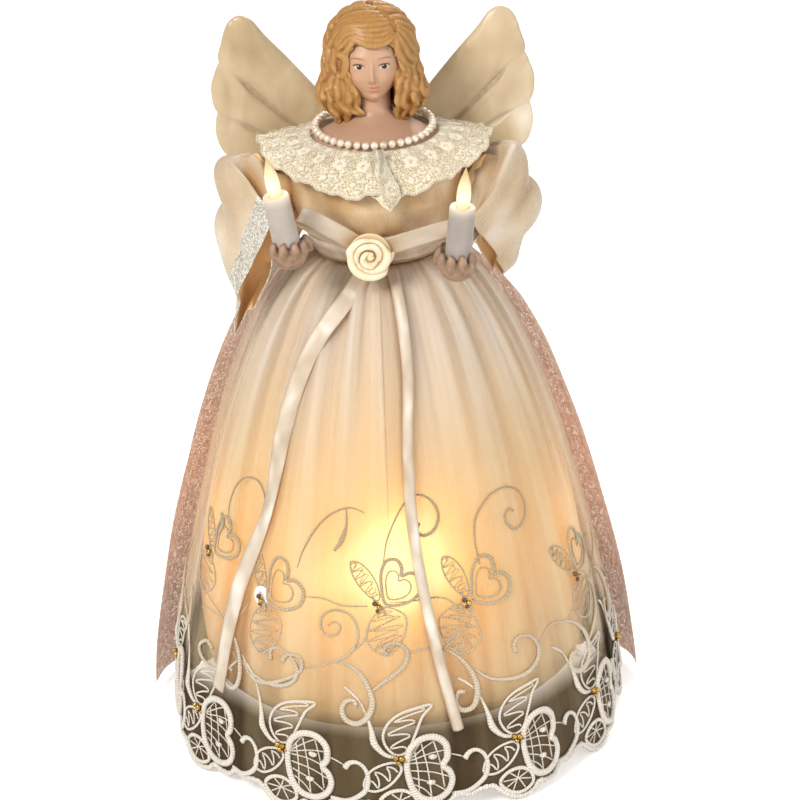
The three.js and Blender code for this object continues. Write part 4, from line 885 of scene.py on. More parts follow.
def satin_finish(name, colours, roughness, patch=18.0, grain=0.04, ply=0.4, deep="#B98C55"):
    """Woven satin: long floats one way, so it shines in streaks; a drifting dye, and painted shade in its
    creases.
    """
    finish = new_finish(name, roughness, Sheen_Weight=0.3, Specular_IOR_Level=0.6)
    drift = speckle(finish, patch, "UV", (1.6, 0.8, 1), detail=1.5)
    fine = speckle(finish, 1.6, "UV", (6, 0.5, 1))
    both = plus(times(drift, 0.94), times(fine, 0.06))
    dyed = graded(both, [(0.3, colours[0]), (0.5, colours[1]), (0.7, colours[2])])
    wire_to(with_painted_crease_shade(dyed, deep, 9), "Base Color")
    wire_to(ranged(fine, 0.3, 0.7, roughness - 0.06, roughness + 0.1), "Roughness")
    emboss(plus(times(fine, 0.4), threads(finish, ply, "X")), grain)
    return finish


ivory_satin = satin_finish("ivory satin", ("#C9A67A", "#DABD93", "#EBD8B6"), 0.28)
bodice.data.materials.append(ivory_satin)
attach(bodice, "figure")
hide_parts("bodice")

# ---- Head and shoulder plate ----
# Cast bisque: one hollow casting with a calm doll's face, painted by hand with matt china colours and fired.
# The plate under the collar is stitched to the body form.
HEAD_Z = 254.0
EYE_X, EYE_Z = 5.1, 252.6
MOUTH_X = 0.9


def gauss(x, z, at_x, at_z, wide, high):
    """A smooth swelling about a point of the face: 1 there, fading with distance across and up."""
    return np.exp(-(((x - at_x) / wide) ** 2) - ((z - at_z) / high) ** 2)


def both_sides(x, z, apart, at_z, wide, high):
    return gauss(x, z, -apart, at_z, wide, high) + gauss(x, z, apart, at_z, wide, high)


bpy.ops.object.select_all(action="DESELECT")
bpy.ops.mesh.primitive_ico_sphere_add(subdivisions=7, radius=1.0)
face = bpy.context.object
points = points_of(face)
rise = points[:, 2]
narrow = 1 - 0.34 * np.clip(-rise, 0, 1) ** 2
x, y, z = points[:, 0] * 12.6 * narrow, points[:, 1] * 14.0, HEAD_Z + rise * np.where(rise < 0, 18.2, 14.5)
front = np.clip(-points[:, 1], 0, 1) ** 0.5
# Nose: tip, bridge and wings
push = 2.4 * gauss(x, z, 0.2, 248.0, 1.3, 1.8) + 1.35 * gauss(x, z, 0.1, 251.0, 0.95, 3.4)
push += 0.5 * (gauss(x, z, -1.2, 247.4, 0.8, 0.9) + gauss(x, z, 1.65, 247.4, 0.8, 0.9))
# Hollows by the nose, eyeballs, brows and cheeks
push -= 0.95 * both_sides(x, z, 3.1, 252.2, 1.9, 2.6) + 0.5 * gauss(x, z, 0, 253.6, 2.4, 2.2)
push += 0.55 * both_sides(x, z, EYE_X, EYE_Z, 2.5, 1.55)
push += 0.35 * both_sides(x, z, 5.0, 256.6, 3.4, 1.0)
push += 0.9 * both_sides(x, z, 6.6, 246.6, 3.2, 3.0)
# Mouth: its mound, the line between the lips, the lips, the hollow under them, the chin and the groove above
push += 0.95 * gauss(x, z, MOUTH_X, 244.1, 2.3, 1.9) - 0.28 * gauss(x, z, MOUTH_X, 244.0, 2.2, 0.3)
push += 0.28 * (gauss(x, z, 0.1, 244.8, 0.9, 0.45) + gauss(x, z, 1.7, 244.8, 0.9, 0.45))
push += 0.4 * gauss(x, z, MOUTH_X, 243.2, 1.3, 0.55)
push -= 0.5 * gauss(x, z, 1.0, 241.5, 2.2, 0.8)
push += 2.4 * gauss(x, z, 1.2, 238.8, 3.6, 2.6)
push -= 0.35 * gauss(x, z, 0.8, 246.0, 0.4, 0.7)
y = -1.5 + y - push * front
move_points(face, np.stack([x, y, z], 1) * MM)


def bust_place(u, v):
    """The plate, which narrows to the foot of the neck at v 0.62, and the neck, leaning a little forward."""
    angle = 2 * np.pi * u
    neck_from = 0.62
    lift = np.clip(v / neck_from, 0, 1)
    wide, front_deep, back_deep = (
        np.interp(lift, [0, 0.22, 0.42, 0.6, 0.78, 0.9, 1.0], steps)
        for steps in (
            [30.5, 28.4, 23.6, 17.4, 11.2, 8.2, 6.9],
            [22, 20.8, 19.2, 15.2, 9.8, 7.6, 6.7],
            [16, 15.2, 13.8, 11.9, 9.1, 7.4, 6.7],
        )
    )
    x, y = ring_of(angle, wide, front_deep, back_deep)
    z = 215.3 + np.where(v < neck_from, 17.4 * lift, 17.4 + 21.0 * (v - neck_from) / 0.38)
    across = np.exp(-(((np.abs(np.sin(angle)) - 0.45) / 0.3) ** 2)) * (np.cos(angle) > 0)
    collar_bone = 0.5 * np.exp(-(((lift - 0.55) / 0.1) ** 2)) * across
    tilt = np.clip((z - 228) / 20, 0, 1)
    return x, y * (1 + collar_bone / 20) - 0.6 * tilt, z


bust = lay_cloth("bust", 120, 60, bust_place, (150, 50), closed=True)
pick(bust)
# Its open neck and foot are closed, so that it can be joined to the head
bpy.ops.object.mode_set(mode="EDIT")
bpy.ops.mesh.select_all(action="DESELECT")
bpy.ops.mesh.select_non_manifold()
bpy.ops.mesh.edge_face_add()
bpy.ops.mesh.select_all(action="SELECT")
bpy.ops.mesh.normals_make_consistent(inside=False)
bpy.ops.object.mode_set(mode="OBJECT")
join_up = face.modifiers.new("one casting", "BOOLEAN")
join_up.operation = "UNION"
join_up.object = bust
join_up.solver = "EXACT"
apply_all(face)
bpy.data.objects.remove(bust)
face.name = face.data.name = "bisque_head"
pick(face)
bpy.ops.object.shade_smooth()
bpy.ops.object.transform_apply()

bisque = new_finish("painted bisque", 0.42, Subsurface_Weight=0.12, Subsurface_Scale=0.002, Coat_Weight=0.05)
here = node(bisque, "TexCoord").outputs["Object"]
split = node(bisque, "SeparateXYZ", {"Vector": here})


def uneven_shine(finish, size, smooth, rough):
    """Roughness that drifts in patches of size mm, as handled plastic, paint and glaze have."""
    wire_to(ranged(speckle(finish, size), 0.3, 0.7, smooth, rough), "Roughness")


def painted(centre_x, centre_z, wide, high, soft, turn=0.0):
    """A painted spot on the face, seen from the front: 1 inside, fading to 0 over its soft share."""
    place = node(bisque, "Mapping", {"Vector": here}, vector_type="TEXTURE")
    place.inputs["Location"].default_value = (centre_x * MM, 0, centre_z * MM)
    place.inputs["Rotation"].default_value = (0, turn, 0)
    through = 1000.0  # metres, so that depth doesn't count
    place.inputs["Scale"].default_value = (wide * MM, through, high * MM)
    away = node(bisque, "VectorMath", {0: place.outputs[0]}, operation="LENGTH").outputs["Value"]
    return ranged(away, 1.0, 1.0 - soft, 0.0, 1.0, soft=True)


in_front = ranged(split.outputs["Y"], -0.004, -0.008, 0.0, 1.0)
# Painted shade: the skin is darker low on the plate, below the neck.
above_plate_shade = ranged(split.outputs["Z"], 0.231, 0.238)
skin = graded(plus(times(above_plate_shade, 0.8), times(speckle(bisque, 4.5), 0.2)),
              [(0.0, "#B08C74"), (0.45, "#CCA68A"), (1.0, "#C9A184")])


def over_paint(under, mask, colour, strength=1.0):
    """One more coat of colour where the mask is, on the face's front only."""
    mask = times(times(mask, in_front), strength)
    return blend_colours(mask, under, colour)


def crescent(upper, lower):
    """What one painted spot covers and another does not: a brow or the line of a lid."""
    return minus(painted(*upper), painted(*lower), clamp=True)


skin = over_paint(skin, painted(0.8, 240.0, 5.0, 4.0, 0.95), "#D29B80", 0.35)
for side in (-1, 1):
    # blush, eye shadow, brow, white of the eye, lid line, iris, pupil, glint, nostril and upper lip
    brow = crescent((5.1 * side, 255.3, 3.2, 1.5, 0.4, -0.12 * side),
                    (5.0 * side, 254.5, 3.4, 1.6, 0.3, -0.06 * side))
    lid = crescent((4.9 * side, 252.95, 2.6, 1.35, 0.3, -0.08 * side),
                   (4.9 * side, 252.5, 2.5, 1.15, 0.3, -0.05 * side))
    iris_x = 4.75 * side + 0.15
    for mask, colour, strength in (
        (painted(7.2 * side, 246.6, 3.4, 3.2, 0.95), "#D98A74", 0.45),
        (painted(4.9 * side, 253.9, 3.2, 1.7, 0.8), "#B98068", 0.4),
        (brow, "#9A6B48", 0.8),
        (painted(4.9 * side, 252.7, 2.3, 1.15, 0.35, -0.05 * side), "#D5C5B8", 0.9),
        (lid, "#4A3022", 0.95),
        (painted(iris_x, 252.8, 1.2, 1.15, 0.3), "#2E1C13", 1.0),
        (painted(iris_x, 252.8, 0.6, 0.6, 0.4), "#0D0907", 1.0),
        (painted(iris_x - 0.4, 253.25, 0.26, 0.26, 0.4), "#F5EFE8", 0.85),
        (painted(0.25 + 1.2 * side, 247.0, 0.45, 0.3, 0.7), "#9C6450", 0.6),
        (painted(MOUTH_X + 0.95 * side, 244.65, 1.5, 0.62, 0.4, 0.2 * side), "#CF7F6D", 0.9),
    ):
        skin = over_paint(skin, mask, colour, strength)
skin = over_paint(skin, painted(MOUTH_X, 243.4, 1.75, 0.85, 0.45), "#D98E7A", 0.9)
skin = over_paint(skin, painted(MOUTH_X, 244.1, 2.3, 0.22, 0.6), "#A5584A", 0.8)
wire_to(skin, "Base Color", "Emission Color")
uneven_shine(bisque, 0.8, 0.36, 0.5)
# The white gown throws a little light up on the plate
wire_to(ranged(split.outputs["Z"], 0.234, 0.216, 0.0, 0.1), "Emission Strength")
emboss(speckle(bisque, 0.35), 0.02)
face.data.materials.append(bisque)
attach(face, "figure")
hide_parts("head_and_shoulders")

# ---- Hair ----
# The hair is moulded in the same casting and painted gold: strands swept from a parting across the forehead,
# steps of waves at the temples, and long curls that roll over at the shoulders. Each strand is a ridge of the
# casting.


def even_skin(piece, voxel, smooth, inset=0.0):
    """One even skin over all of a piece's parts, as a casting or a sewn cover has, its edges softened."""
    skin_over = piece.modifiers.new("even skin", "REMESH")
    skin_over.mode = "VOXEL"
    skin_over.voxel_size = voxel * MM
    even = piece.modifiers.new("even skin smoothed", "SMOOTH")
    even.iterations = smooth
    if inset:
        shrink = piece.modifiers.new("inset", "DISPLACE")
        shrink.mid_level = 0.0
        shrink.strength = -inset * MM
    apply_all(piece)


def remeshed(node_name, name, voxel, smooth, inset):
    """A piece grown from a copy of a CAD node, with an even skin set in from it."""
    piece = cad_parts[node_name].copy()
    piece.data = piece.data.copy()
    bpy.context.collection.objects.link(piece)
    pick(piece)
    bpy.ops.object.transform_apply()
    piece.data.materials.clear()
    for old in [key for key in piece.keys() if not key.startswith("_")]:
        del piece[old]
    on_whole_mesh(bpy.ops.mesh.remove_doubles, threshold=0.00002)
    on_whole_mesh(bpy.ops.mesh.normals_make_consistent, inside=False)
    even_skin(piece, voxel, smooth, inset)
    piece.name = piece.data.name = name
    bpy.ops.object.shade_smooth()
    return piece


HAIR_MIDDLE = np.array([0, 0, 252.0])


def on_head(degrees, down, lift=0.0):
    """A point of the hair's outside: degrees round from the front, share of the way down from the crown."""
    steps = [0.0, 0.04, 0.15, 0.29, 0.47, 0.66, 0.81, 0.92, 1.0]
    wide = 22.5 * np.interp(down, steps, [0.02, 0.36, 0.6, 0.76, 0.82, 0.87, 1.0, 0.86, 0.68])
    front_deep = 16 * np.interp(down, steps, [0.02, 0.45, 0.8, 1, 0.97, 0.8, 0.66, 0.5, 0.34])
    back_deep = 19.5 * np.interp(down, steps, [0.02, 0.42, 0.7, 0.92, 1, 1, 0.98, 0.86, 0.7])
    x, y = ring_of(math.radians(degrees), wide, front_deep, back_deep)
    point = np.array([float(x), float(y), 277 - 48.5 * down])
    away = point - HAIR_MIDDLE
    return point + away / np.linalg.norm(away) * (lift - 0.5)


def unit(rows):
    return rows / (np.linalg.norm(rows, axis=1)[:, None] + 1e-9)


def lock(path, wide, lift=None, waves=0.0, phase=0.0):
    """One strand: a tapered, flattened ridge along a path of (degrees, share down)."""
    ends = 0.12  # how far into the taper the strand begins
    step, wave_length = 0.6, 8.5
    lift = -0.3 * wide if lift is None else lift
    line = smooth_line(np.array([on_head(degrees, down, lift) for degrees, down in path]), step)
    share = np.linspace(0, 1, len(line))
    along = unit(np.gradient(line, axis=0))
    out = line - np.array([0, -0.5, 252.0])
    out[:, 2] *= 0.4
    out = unit(out - along * (out * along).sum(1)[:, None])
    across = np.cross(out, along)
    wave = 2 * np.pi * share * len(line) * step / wave_length + phase
    swing = waves * np.sin(wave) * np.clip(share * 4, 0, 1)
    line = line + across * swing[:, None] + out * (0.35 * waves * np.cos(wave))[:, None]
    swell = wide * np.clip(np.sin(np.pi * (ends + (1 - ends * 1.6) * share)), 0.05, 1) ** 0.6
    return line, across, out, swell, 0.72 * swell


# Front strands, from the parting outwards: the path and the half-width
strands = [
    ([(36, 0.25), (24, 0.29), (12, 0.31), (0, 0.31), (-12, 0.285), (-22, 0.265), (-28, 0.31), (-36, 0.38),
      (-48, 0.41)], 1.5),
    ([(38, 0.22), (24, 0.26), (10, 0.27), (-6, 0.26), (-18, 0.24), (-30, 0.26), (-40, 0.32), (-52, 0.39)], 1.4),
    ([(38, 0.19), (22, 0.22), (8, 0.23), (-6, 0.22), (-22, 0.20), (-38, 0.23), (-46, 0.30), (-54, 0.36)], 1.5),
    ([(36, 0.17), (22, 0.18), (6, 0.18), (-10, 0.18), (-26, 0.17), (-42, 0.20), (-50, 0.27), (-56, 0.34)], 1.5),
    ([(36, 0.14), (20, 0.14), (4, 0.14), (-14, 0.14), (-32, 0.15), (-46, 0.18), (-58, 0.25), (-64, 0.34)], 1.6),
    ([(36, 0.12), (18, 0.11), (-2, 0.11), (-20, 0.11), (-38, 0.13), (-54, 0.18), (-66, 0.26)], 1.7),
    ([(32, 0.09), (10, 0.08), (-14, 0.08), (-36, 0.10), (-56, 0.14), (-70, 0.22)], 1.8),
    ([(26, 0.06), (0, 0.05), (-30, 0.06), (-56, 0.09), (-76, 0.16)], 1.9),
    ([(24, 0.03), (0, 0.02), (-40, 0.02), (-70, 0.05), (-86, 0.11)], 2.0),
    ([(30, 0.02), (60, 0.04), (86, 0.09), (98, 0.17)], 2.0),
    ([(38, 0.25), (38, 0.31), (38, 0.37), (42, 0.44), (48, 0.51), (58, 0.55)], 1.6),
    ([(42, 0.23), (44, 0.29), (50, 0.36), (56, 0.44), (68, 0.50), (80, 0.53)], 1.7),
    ([(48, 0.20), (54, 0.26), (62, 0.35), (74, 0.44), (84, 0.50)], 1.8),
    ([(50, 0.17), (60, 0.23), (70, 0.30), (82, 0.39), (90, 0.46)], 1.9),
    ([(48, 0.14), (64, 0.18), (78, 0.24), (90, 0.33), (98, 0.42)], 1.9),
    ([(44, 0.10), (64, 0.12), (84, 0.17), (98, 0.26), (106, 0.36)], 2.0),
    ([(-50, 0.40), (-41, 0.42), (-33, 0.48), (-34, 0.54), (-42, 0.58), (-52, 0.57)], 1.9),
    ([(-56, 0.37), (-55, 0.44), (-54, 0.51), (-52, 0.58)], 2.0),
    ([(-66, 0.30), (-68, 0.40), (-70, 0.50), (-66, 0.58)], 2.2),
    ([(-38, 0.54), (-32, 0.63), (-26, 0.72), (-28, 0.79), (-26, 0.85), (-18, 0.89), (-15, 0.93), (-22, 0.97),
      (-30, 0.97)], 1.8),
    ([(-31, 0.54), (-27, 0.63), (-21, 0.71), (-21, 0.77), (-25, 0.81), (-30, 0.84)], 1.4),
    ([(-46, 0.59), (-45, 0.68), (-40, 0.77), (-34, 0.86), (-42, 0.95), (-60, 0.98), (-66, 0.93), (-56, 0.88),
      (-45, 0.89)], 2.0),
    ([(-54, 0.60), (-58, 0.68), (-66, 0.72), (-62, 0.78), (-52, 0.79)], 2.1),
    ([(-56, 0.73), (-54, 0.82), (-60, 0.90), (-74, 0.96), (-84, 0.94)], 2.0),
    ([(-21, 0.76), (-17, 0.84), (-15, 0.90), (-15, 0.94), (-22, 0.985)], 1.4),
    ([(40, 0.47), (42, 0.57), (38, 0.65), (29, 0.73), (30, 0.83), (32, 0.90), (44, 0.97)], 1.7),
    ([(48, 0.53), (50, 0.63), (42, 0.71), (35, 0.78), (42, 0.88), (54, 0.95), (68, 0.97)], 1.9),
    ([(60, 0.54), (64, 0.64), (54, 0.72), (50, 0.80), (60, 0.89), (74, 0.94), (84, 0.90)], 2.0),
    ([(80, 0.54), (80, 0.64), (70, 0.72), (68, 0.78), (78, 0.81), (86, 0.86), (80, 0.91), (70, 0.90)], 2.1),
    ([(44, 0.57), (50, 0.67), (55, 0.74), (58, 0.82), (66, 0.86)], 1.6),
    ([(92, 0.48), (94, 0.58), (88, 0.66), (92, 0.75), (96, 0.83), (88, 0.90)], 2.2),
    ([(-80, 0.44), (-82, 0.54), (-78, 0.62), (-84, 0.71), (-80, 0.80), (-88, 0.88)], 2.2),
]
locks = []
for k, (path, wide) in enumerate(strands):
    # the front curls hang a little lower than drawn, over the pearls; those on the brow have no waves
    hung = [(way, down + (0.075 if way < 0 else 0.05) * min(1, max(0, (down - 0.7) / 0.22)))
            for way, down in path]
    locks.append(lock(hung, wide, waves=0.0 if k < 16 else 0.7, phase=1.9 * k))
# Broad strands beneath, so that no gap is left between the curls
for path in (
    [(-34, 0.56), (-30, 0.66), (-30, 0.78), (-26, 0.88)],
    [(-44, 0.56), (-40, 0.7), (-36, 0.84), (-40, 0.94)],
    [(-24, 0.66), (-22, 0.8), (-22, 0.93)],
    [(48, 0.5), (46, 0.66), (42, 0.8), (48, 0.92)],
    [(38, 0.56), (38, 0.7), (36, 0.84)],
    [(60, 0.6), (60, 0.76), (62, 0.92)],
    [(-60, 0.56), (-58, 0.74), (-60, 0.92)],
    [(-46, 0.8), (-38, 0.9), (-30, 0.965)],
    [(-56, 0.84), (-46, 0.94), (-36, 0.97)],
):
    locks.append(lock(path, 2.9, lift=-2.6))
# Round the sides and back: long waved strands from the crown, each with a curl at its end
for k, way in enumerate((-172, -156, -141, -127, -114, -102, -92, 104, 114, 127, 141, 156, 172, 184)):
    curl = 6 if k % 2 else -6
    path = [(way * 0.9, 0.004), (way * 0.94, 0.03), (way * 0.98, 0.11)]
    path += [(way, down) for down in (0.25, 0.4, 0.55, 0.7)]
    curled_end = ((0.3, 0.8), (1, 0.88), (1.6, 0.95), (0.7, 0.98), (-0.2, 0.94))
    path += [(way + curl * turn, down) for turn, down in curled_end]
    locks.append(lock(path, 2.7 + 0.25 * math.sin(3.1 * k), waves=0.9, phase=1.3 * k))
    beside = [(way + 7, down) for down in (0.06, 0.2, 0.4, 0.6, 0.78)] + [(way + 7 - curl, 0.9)]
    locks.append(lock(beside, 1.7, waves=0.9, phase=1.3 * k + 2))
hair_base = remeshed("hair", "hair_core", 0.55, 12, inset=0.9)
hair = join(hair_base, stitched("hair_locks", locks, sides=14))
hair.name = hair.data.name = "moulded_hair"
even_skin(hair, 0.37, 4)
# The crown is pressed down a little, to the height of the casting
spots = points_of(hair)
crown = 0.262
spots[:, 2] = np.where(spots[:, 2] > crown, crown + (spots[:, 2] - crown) * 0.85, spots[:, 2])
move_points(hair, spots)
bpy.ops.object.shade_smooth()
hair_gold = new_finish("gold hair paint", 0.42, Coat_Weight=0.1)
downwards = where(hair_gold, "Object", (1.6, 1.6, 0.5))
combing = {"Vector": downwards, "Scale": 520.0, "Detail": 4.0, "Distortion": 0.8}
combed = node(hair_gold, "TexNoise", combing).outputs["Fac"]
# Painted light and shade: the gold is lighter on each strand's ridge and darker between strands, from how pointed
# the casting is there, and darker again deep in its hollows. The combing drifts at random.
ridge_highlight = ranged(node(hair_gold, "NewGeometry").outputs["Pointiness"], 0.42, 0.56)
tone = plus(times(ridge_highlight, 0.72), times(combed, 0.28))
golds_with_painted_light_and_shade = graded(tone, [(0.15, "#74481A"), (0.38, "#9C6A2F"), (0.58, "#B18145"), (0.85, "#CBA870")])
wire_to(with_painted_crease_shade(golds_with_painted_light_and_shade, "#8A5622", 4), "Base Color")
wire_to(ranged(combed, 0.3, 0.7, 0.36, 0.5), "Roughness")
emboss(combed, 0.18)
hair.data.materials.append(hair_gold)
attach(hair, "figure")
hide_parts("hair")

# ---- Lace collar ----
# A deep cream lace edging gathered round the neck like a bertha. It lies over the shoulders, scalloped at the
# edge, and its two ends meet at the front in a hanging ruffle.
SCALLOPS = 11  # to each half of the collar
NECK_X, EDGE_X = 25.0, 46.5  # half-widths of its neck and of its edge


def lace_at(angle, v, lift):
    """A point lift mm above the collar: v runs from the neck edge to the scalloped edge."""
    facing = np.cos(angle)
    to_front, to_back = np.clip(facing, 0, 1) ** 2, np.clip(-facing, 0, 1) ** 2
    edge = 1 - (2.2 / EDGE_X) * (1 - np.abs(np.cos(SCALLOPS * angle / 2)))
    across = NECK_X + (EDGE_X * edge - NECK_X) * v
    inner = np.where(facing > 0, 21.2, 15.6)
    outer = np.where(facing > 0, 38, 24.4) * edge
    deep = inner + (outer - inner) * v
    fall = 3 + 10.5 * to_front + 6 * to_back
    ruffle = 1.3 * v * np.cos(SCALLOPS * angle) * to_front + 0.6 * v * np.cos(2 * SCALLOPS * angle + 1)
    ruffle = ruffle + 0.3 * v**2 * np.sin(53 * angle)
    z = 223.6 - 2.2 * facing - fall * v**1.2 + ruffle
    tilt = fall / 21.0
    size = np.sqrt(1 + tilt**2)
    off = lift * tilt / size
    return across * np.sin(angle) + off * np.sin(angle), -deep * facing - off * facing, z + lift / size


lace_collar = lay_cloth("gathered_lace_collar", 330, 36, lambda u, v: lace_at(2 * np.pi * u, v, 0), (220, 22),
                        closed=True)
thicken(lace_collar, 0.3)
lace_net = new_finish("cream lace", 0.7, Sheen_Weight=0.4)
lace_mm = node(lace_net, "SeparateXYZ", {"Vector": node(lace_net, "UVMap").outputs[0]})
repeat = 10.0
column = minus(maths("FLOORED_MODULO", lace_mm.outputs["X"], repeat), repeat / 2)


def bloom(centre, size, petals):
    """A woven flower in each repeat of the lace: 1 on it, 0 on the net round it."""
    off = minus(lace_mm.outputs["Y"], centre)
    far = maths("SQRT", plus(times(column, column), times(off, off)))
    turn = maths("ARCTAN2", off, column)
    reach = plus(size, times(maths("COSINE", times(turn, float(petals))), size * 0.16))
    return ranged(minus(reach, far), -0.25, 0.15)


holes = {"Vector": where(lace_net, "UV"), "Scale": 0.95}
net = ranged(node(lace_net, "TexVoronoi", holes, feature="DISTANCE_TO_EDGE").outputs["Distance"], 0.16, 0.08)
large, small = minus(bloom(16.0, 3.4, 6), bloom(16.0, 1.3, 5)), minus(bloom(8.0, 2.6, 5), bloom(8.0, 0.9, 4))
flowers = maths("MAXIMUM", large, maths("MAXIMUM", small, bloom(2.0, 1.6, 3)))
rim = ranged(lace_mm.outputs["Y"], 20.2, 21.0)
woven = maths("MAXIMUM", maths("MAXIMUM", net, flowers), rim)
cover = ranged(woven, 0.0, 1.0, 0.86, 1.0)
lace_tone = plus(times(woven, 0.7), times(speckle(lace_net, 3, "UV"), 0.3))
wire_to(graded(lace_tone, [(0.2, "#E9D29E"), (0.5, "#F6E6BE"), (0.85, "#FFF8E4")]), "Base Color")
emboss(plus(woven, threads(lace_net, 0.45, "DIAGONAL")), 0.2)
see_through(lace_net, cover, node(lace_net, "BsdfTransparent"))
lace_collar.data.materials.append(lace_net)
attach(lace_collar, "figure")
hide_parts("lace_collar")


def outline(degrees, v, wide, high, lift=0.1):
    """A thread of even thickness laid on the collar."""
    even = np.ones(len(v))
    return on_surface(lace_at, np.radians(degrees), v, wide * even, high * even, lift)


lace_runs = [outline(np.linspace(0, 360, 541), np.full(541, 0.985), 0.42, 0.3, 0.0)]
turn = np.linspace(0, 2 * np.pi, 41)
petal = 1 + 0.28 * np.cos(5 * turn)
for k in range(SCALLOPS * 2):
    middle = (k + 0.5) * 180.0 / SCALLOPS
    lace_runs.append(outline(middle + 3.6 * petal * np.cos(turn), 0.72 + 0.13 * petal * np.sin(turn), 0.26, 0.22))
    lace_runs.append(outline(middle + 2.6 * np.cos(turn) + 8.2, 0.36 + 0.10 * np.sin(turn), 0.2, 0.18))
lace_cord = stitched("lace_outlines", lace_runs)
cord_white = silk_finish("cream lace cord", [(0.0, "#F5ECD6"), (1.0, "#F2E6CC")], 0.55)
lace_cord.data.materials.append(cord_white)
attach(lace_cord, "figure")


def ruffle_place(u, v):
    """The collar's joined ends: they hang in a narrow fold that swings from side to side as it falls."""
    fall = v * (1 - 0.22 * np.abs(2 * u - 1) ** 1.5)
    z = 223.4 - 19.5 * fall + 0.5 * np.abs(np.sin(4 * np.pi * u)) * v
    swing = 2.6 * np.sin(2 * np.pi * (u * 1.5 + 0.1)) * (0.4 + 0.6 * v)
    x = 1.2 + 3.4 * fall + (u - 0.5) * (3.4 + 7.0 * v**0.7) + 0.7 * np.sin(6 * v + 3 * u)
    y = -23.8 - 15.2 * fall + swing * 0.5 - 1.6
    return x, y, z


jabot = lay_cloth("lace_front_fold", 60, 44, ruffle_place, (22, 21.5))
thicken(jabot, 0.25)
jabot.data.materials.append(lace_net)
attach(jabot, "figure")

# ---- Pearls ----
# A knotted string of small pearls, two shades of cream, round the neck of the plate.
pearl_places = []
pearl_count = 42
for k in range(pearl_count):
    angle = 2 * math.pi * k / pearl_count
    facing = math.cos(angle)
    deep = 21.2 * (1 if facing > 0 else 0.92)
    pearl_places.append((22.9 * math.sin(angle), -deep * facing, 225.9 - 2.2 * facing,
                         1.58 + 0.05 * math.sin(5 * k)))
pearls = beads("pearl_string", pearl_places, 20, 14)
pearl = new_finish("cream pearl", 0.16, Coat_Weight=0.9, Metallic=0.25)
milk = graded(speckle(pearl, 3.4), [(0.35, "#D8C2A6"), (0.5, "#EADCC8"), (0.65, "#F8F1E6")])
wire_to(milk, "Base Color")
uneven_shine(pearl, 1.2, 0.16, 0.3)
pearls.data.materials.append(pearl)
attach(pearls, "figure")
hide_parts("pearl_necklace")

# ---- Wings ----
# Each wing is champagne satin, cut double, quilted into four curved panels and stuffed, then sewn and glued to
# the card behind the shoulders. The stitching puckers the cloth along every seam.
WING_Y = 30.4
WING_ROOT_X, WING_ROOT_Z, WING_WIDE, WING_HIGH = 8, 172, 56.5, 91
# The panels' outlines, as shares of the wing's width and height, from the top feather to the lowest
wing_panels = (
    [(0.03, 0.44), (0.1, 0.54), (0.25, 0.66), (0.44, 0.8), (0.6, 0.91), (0.69, 0.98), (0.78, 1), (0.86, 0.965),
     (0.91, 0.88), (0.93, 0.79), (0.76, 0.69), (0.56, 0.57), (0.36, 0.46), (0.17, 0.38)],
    [(0.905, 0.8), (0.975, 0.735), (1, 0.66), (0.96, 0.565), (0.76, 0.5), (0.5, 0.405), (0.28, 0.31),
     (0.12, 0.32), (0.18, 0.392), (0.36, 0.472), (0.56, 0.582), (0.76, 0.702)],
    [(0.94, 0.575), (0.985, 0.5), (0.965, 0.42), (0.9, 0.365), (0.7, 0.315), (0.45, 0.25), (0.22, 0.21),
     (0.1, 0.26), (0.13, 0.325), (0.28, 0.322), (0.5, 0.417), (0.76, 0.512)],
    [(0.88, 0.38), (0.9, 0.3), (0.85, 0.19), (0.73, 0.12), (0.5, 0.11), (0.26, 0.13), (0.1, 0.18), (0.12, 0.245),
     (0.26, 0.232), (0.45, 0.262), (0.7, 0.327)],
)


def wing_panel(outline, side, seed):
    """One stuffed panel: rings shrink from its seam to its middle, on the front and on the back."""
    line = smooth_line(np.array(outline) * (WING_WIDE, WING_HIGH), 1.4, closed=True)[:-1]
    centre = line.mean(0)
    run = run_of(line)
    pucker = np.cos(2 * np.pi * run / 3.7 + 1.7 * np.sin(run / 9.0 + seed))
    pucker = pucker + 0.6 * np.cos(2 * np.pi * run / 6.1 + seed)

    def ring(shrink, depth):
        flat = line + (centre - line) * shrink
        spread = [side * (WING_ROOT_X + flat[:, 0]), WING_Y + depth * np.ones(len(line)),
                  WING_ROOT_Z + flat[:, 1]]
        return np.stack(spread, 1)

    seam = ring(0.0, 0.0)
    points, faces = [seam], []
    count = len(line)
    for face_side in (-1, 1):
        before = 0
        for shrink in (0.015, 0.05, 0.1, 0.18, 0.3, 0.44, 0.58, 0.72, 0.85, 0.95):
            full = 3.4 * np.sqrt(1 - (1 - shrink) ** 2.5)
            crease = 0.16 * pucker * np.exp(-shrink / 0.16) * np.clip(shrink * 30, 0, 1)
            first = sum(map(len, points))
            points.append(ring(shrink, face_side * (full + crease)))
            for i in range(count):
                n = (i + 1) % count
                faces.append((before + i, before + n, first + n, first + i))
            before = first
        pole = before + count
        points.append(ring(1.0, face_side * 3.5)[:1])
        faces += [(before + i, before + (i + 1) % count, pole) for i in range(count)]
    return np.vstack(points), faces


champagne = new_finish("champagne wing satin", 0.36, Sheen_Weight=0.3, Specular_IOR_Level=0.6)
drawn_up = where(champagne, "Object", (1.0, 1.0, 0.55))
crinkle_noise = {"Vector": drawn_up, "Scale": 60.0, "Detail": 2.5, "Roughness": 0.5, "Distortion": 0.8}
crinkle = node(champagne, "TexNoise", crinkle_noise).outputs["Fac"]
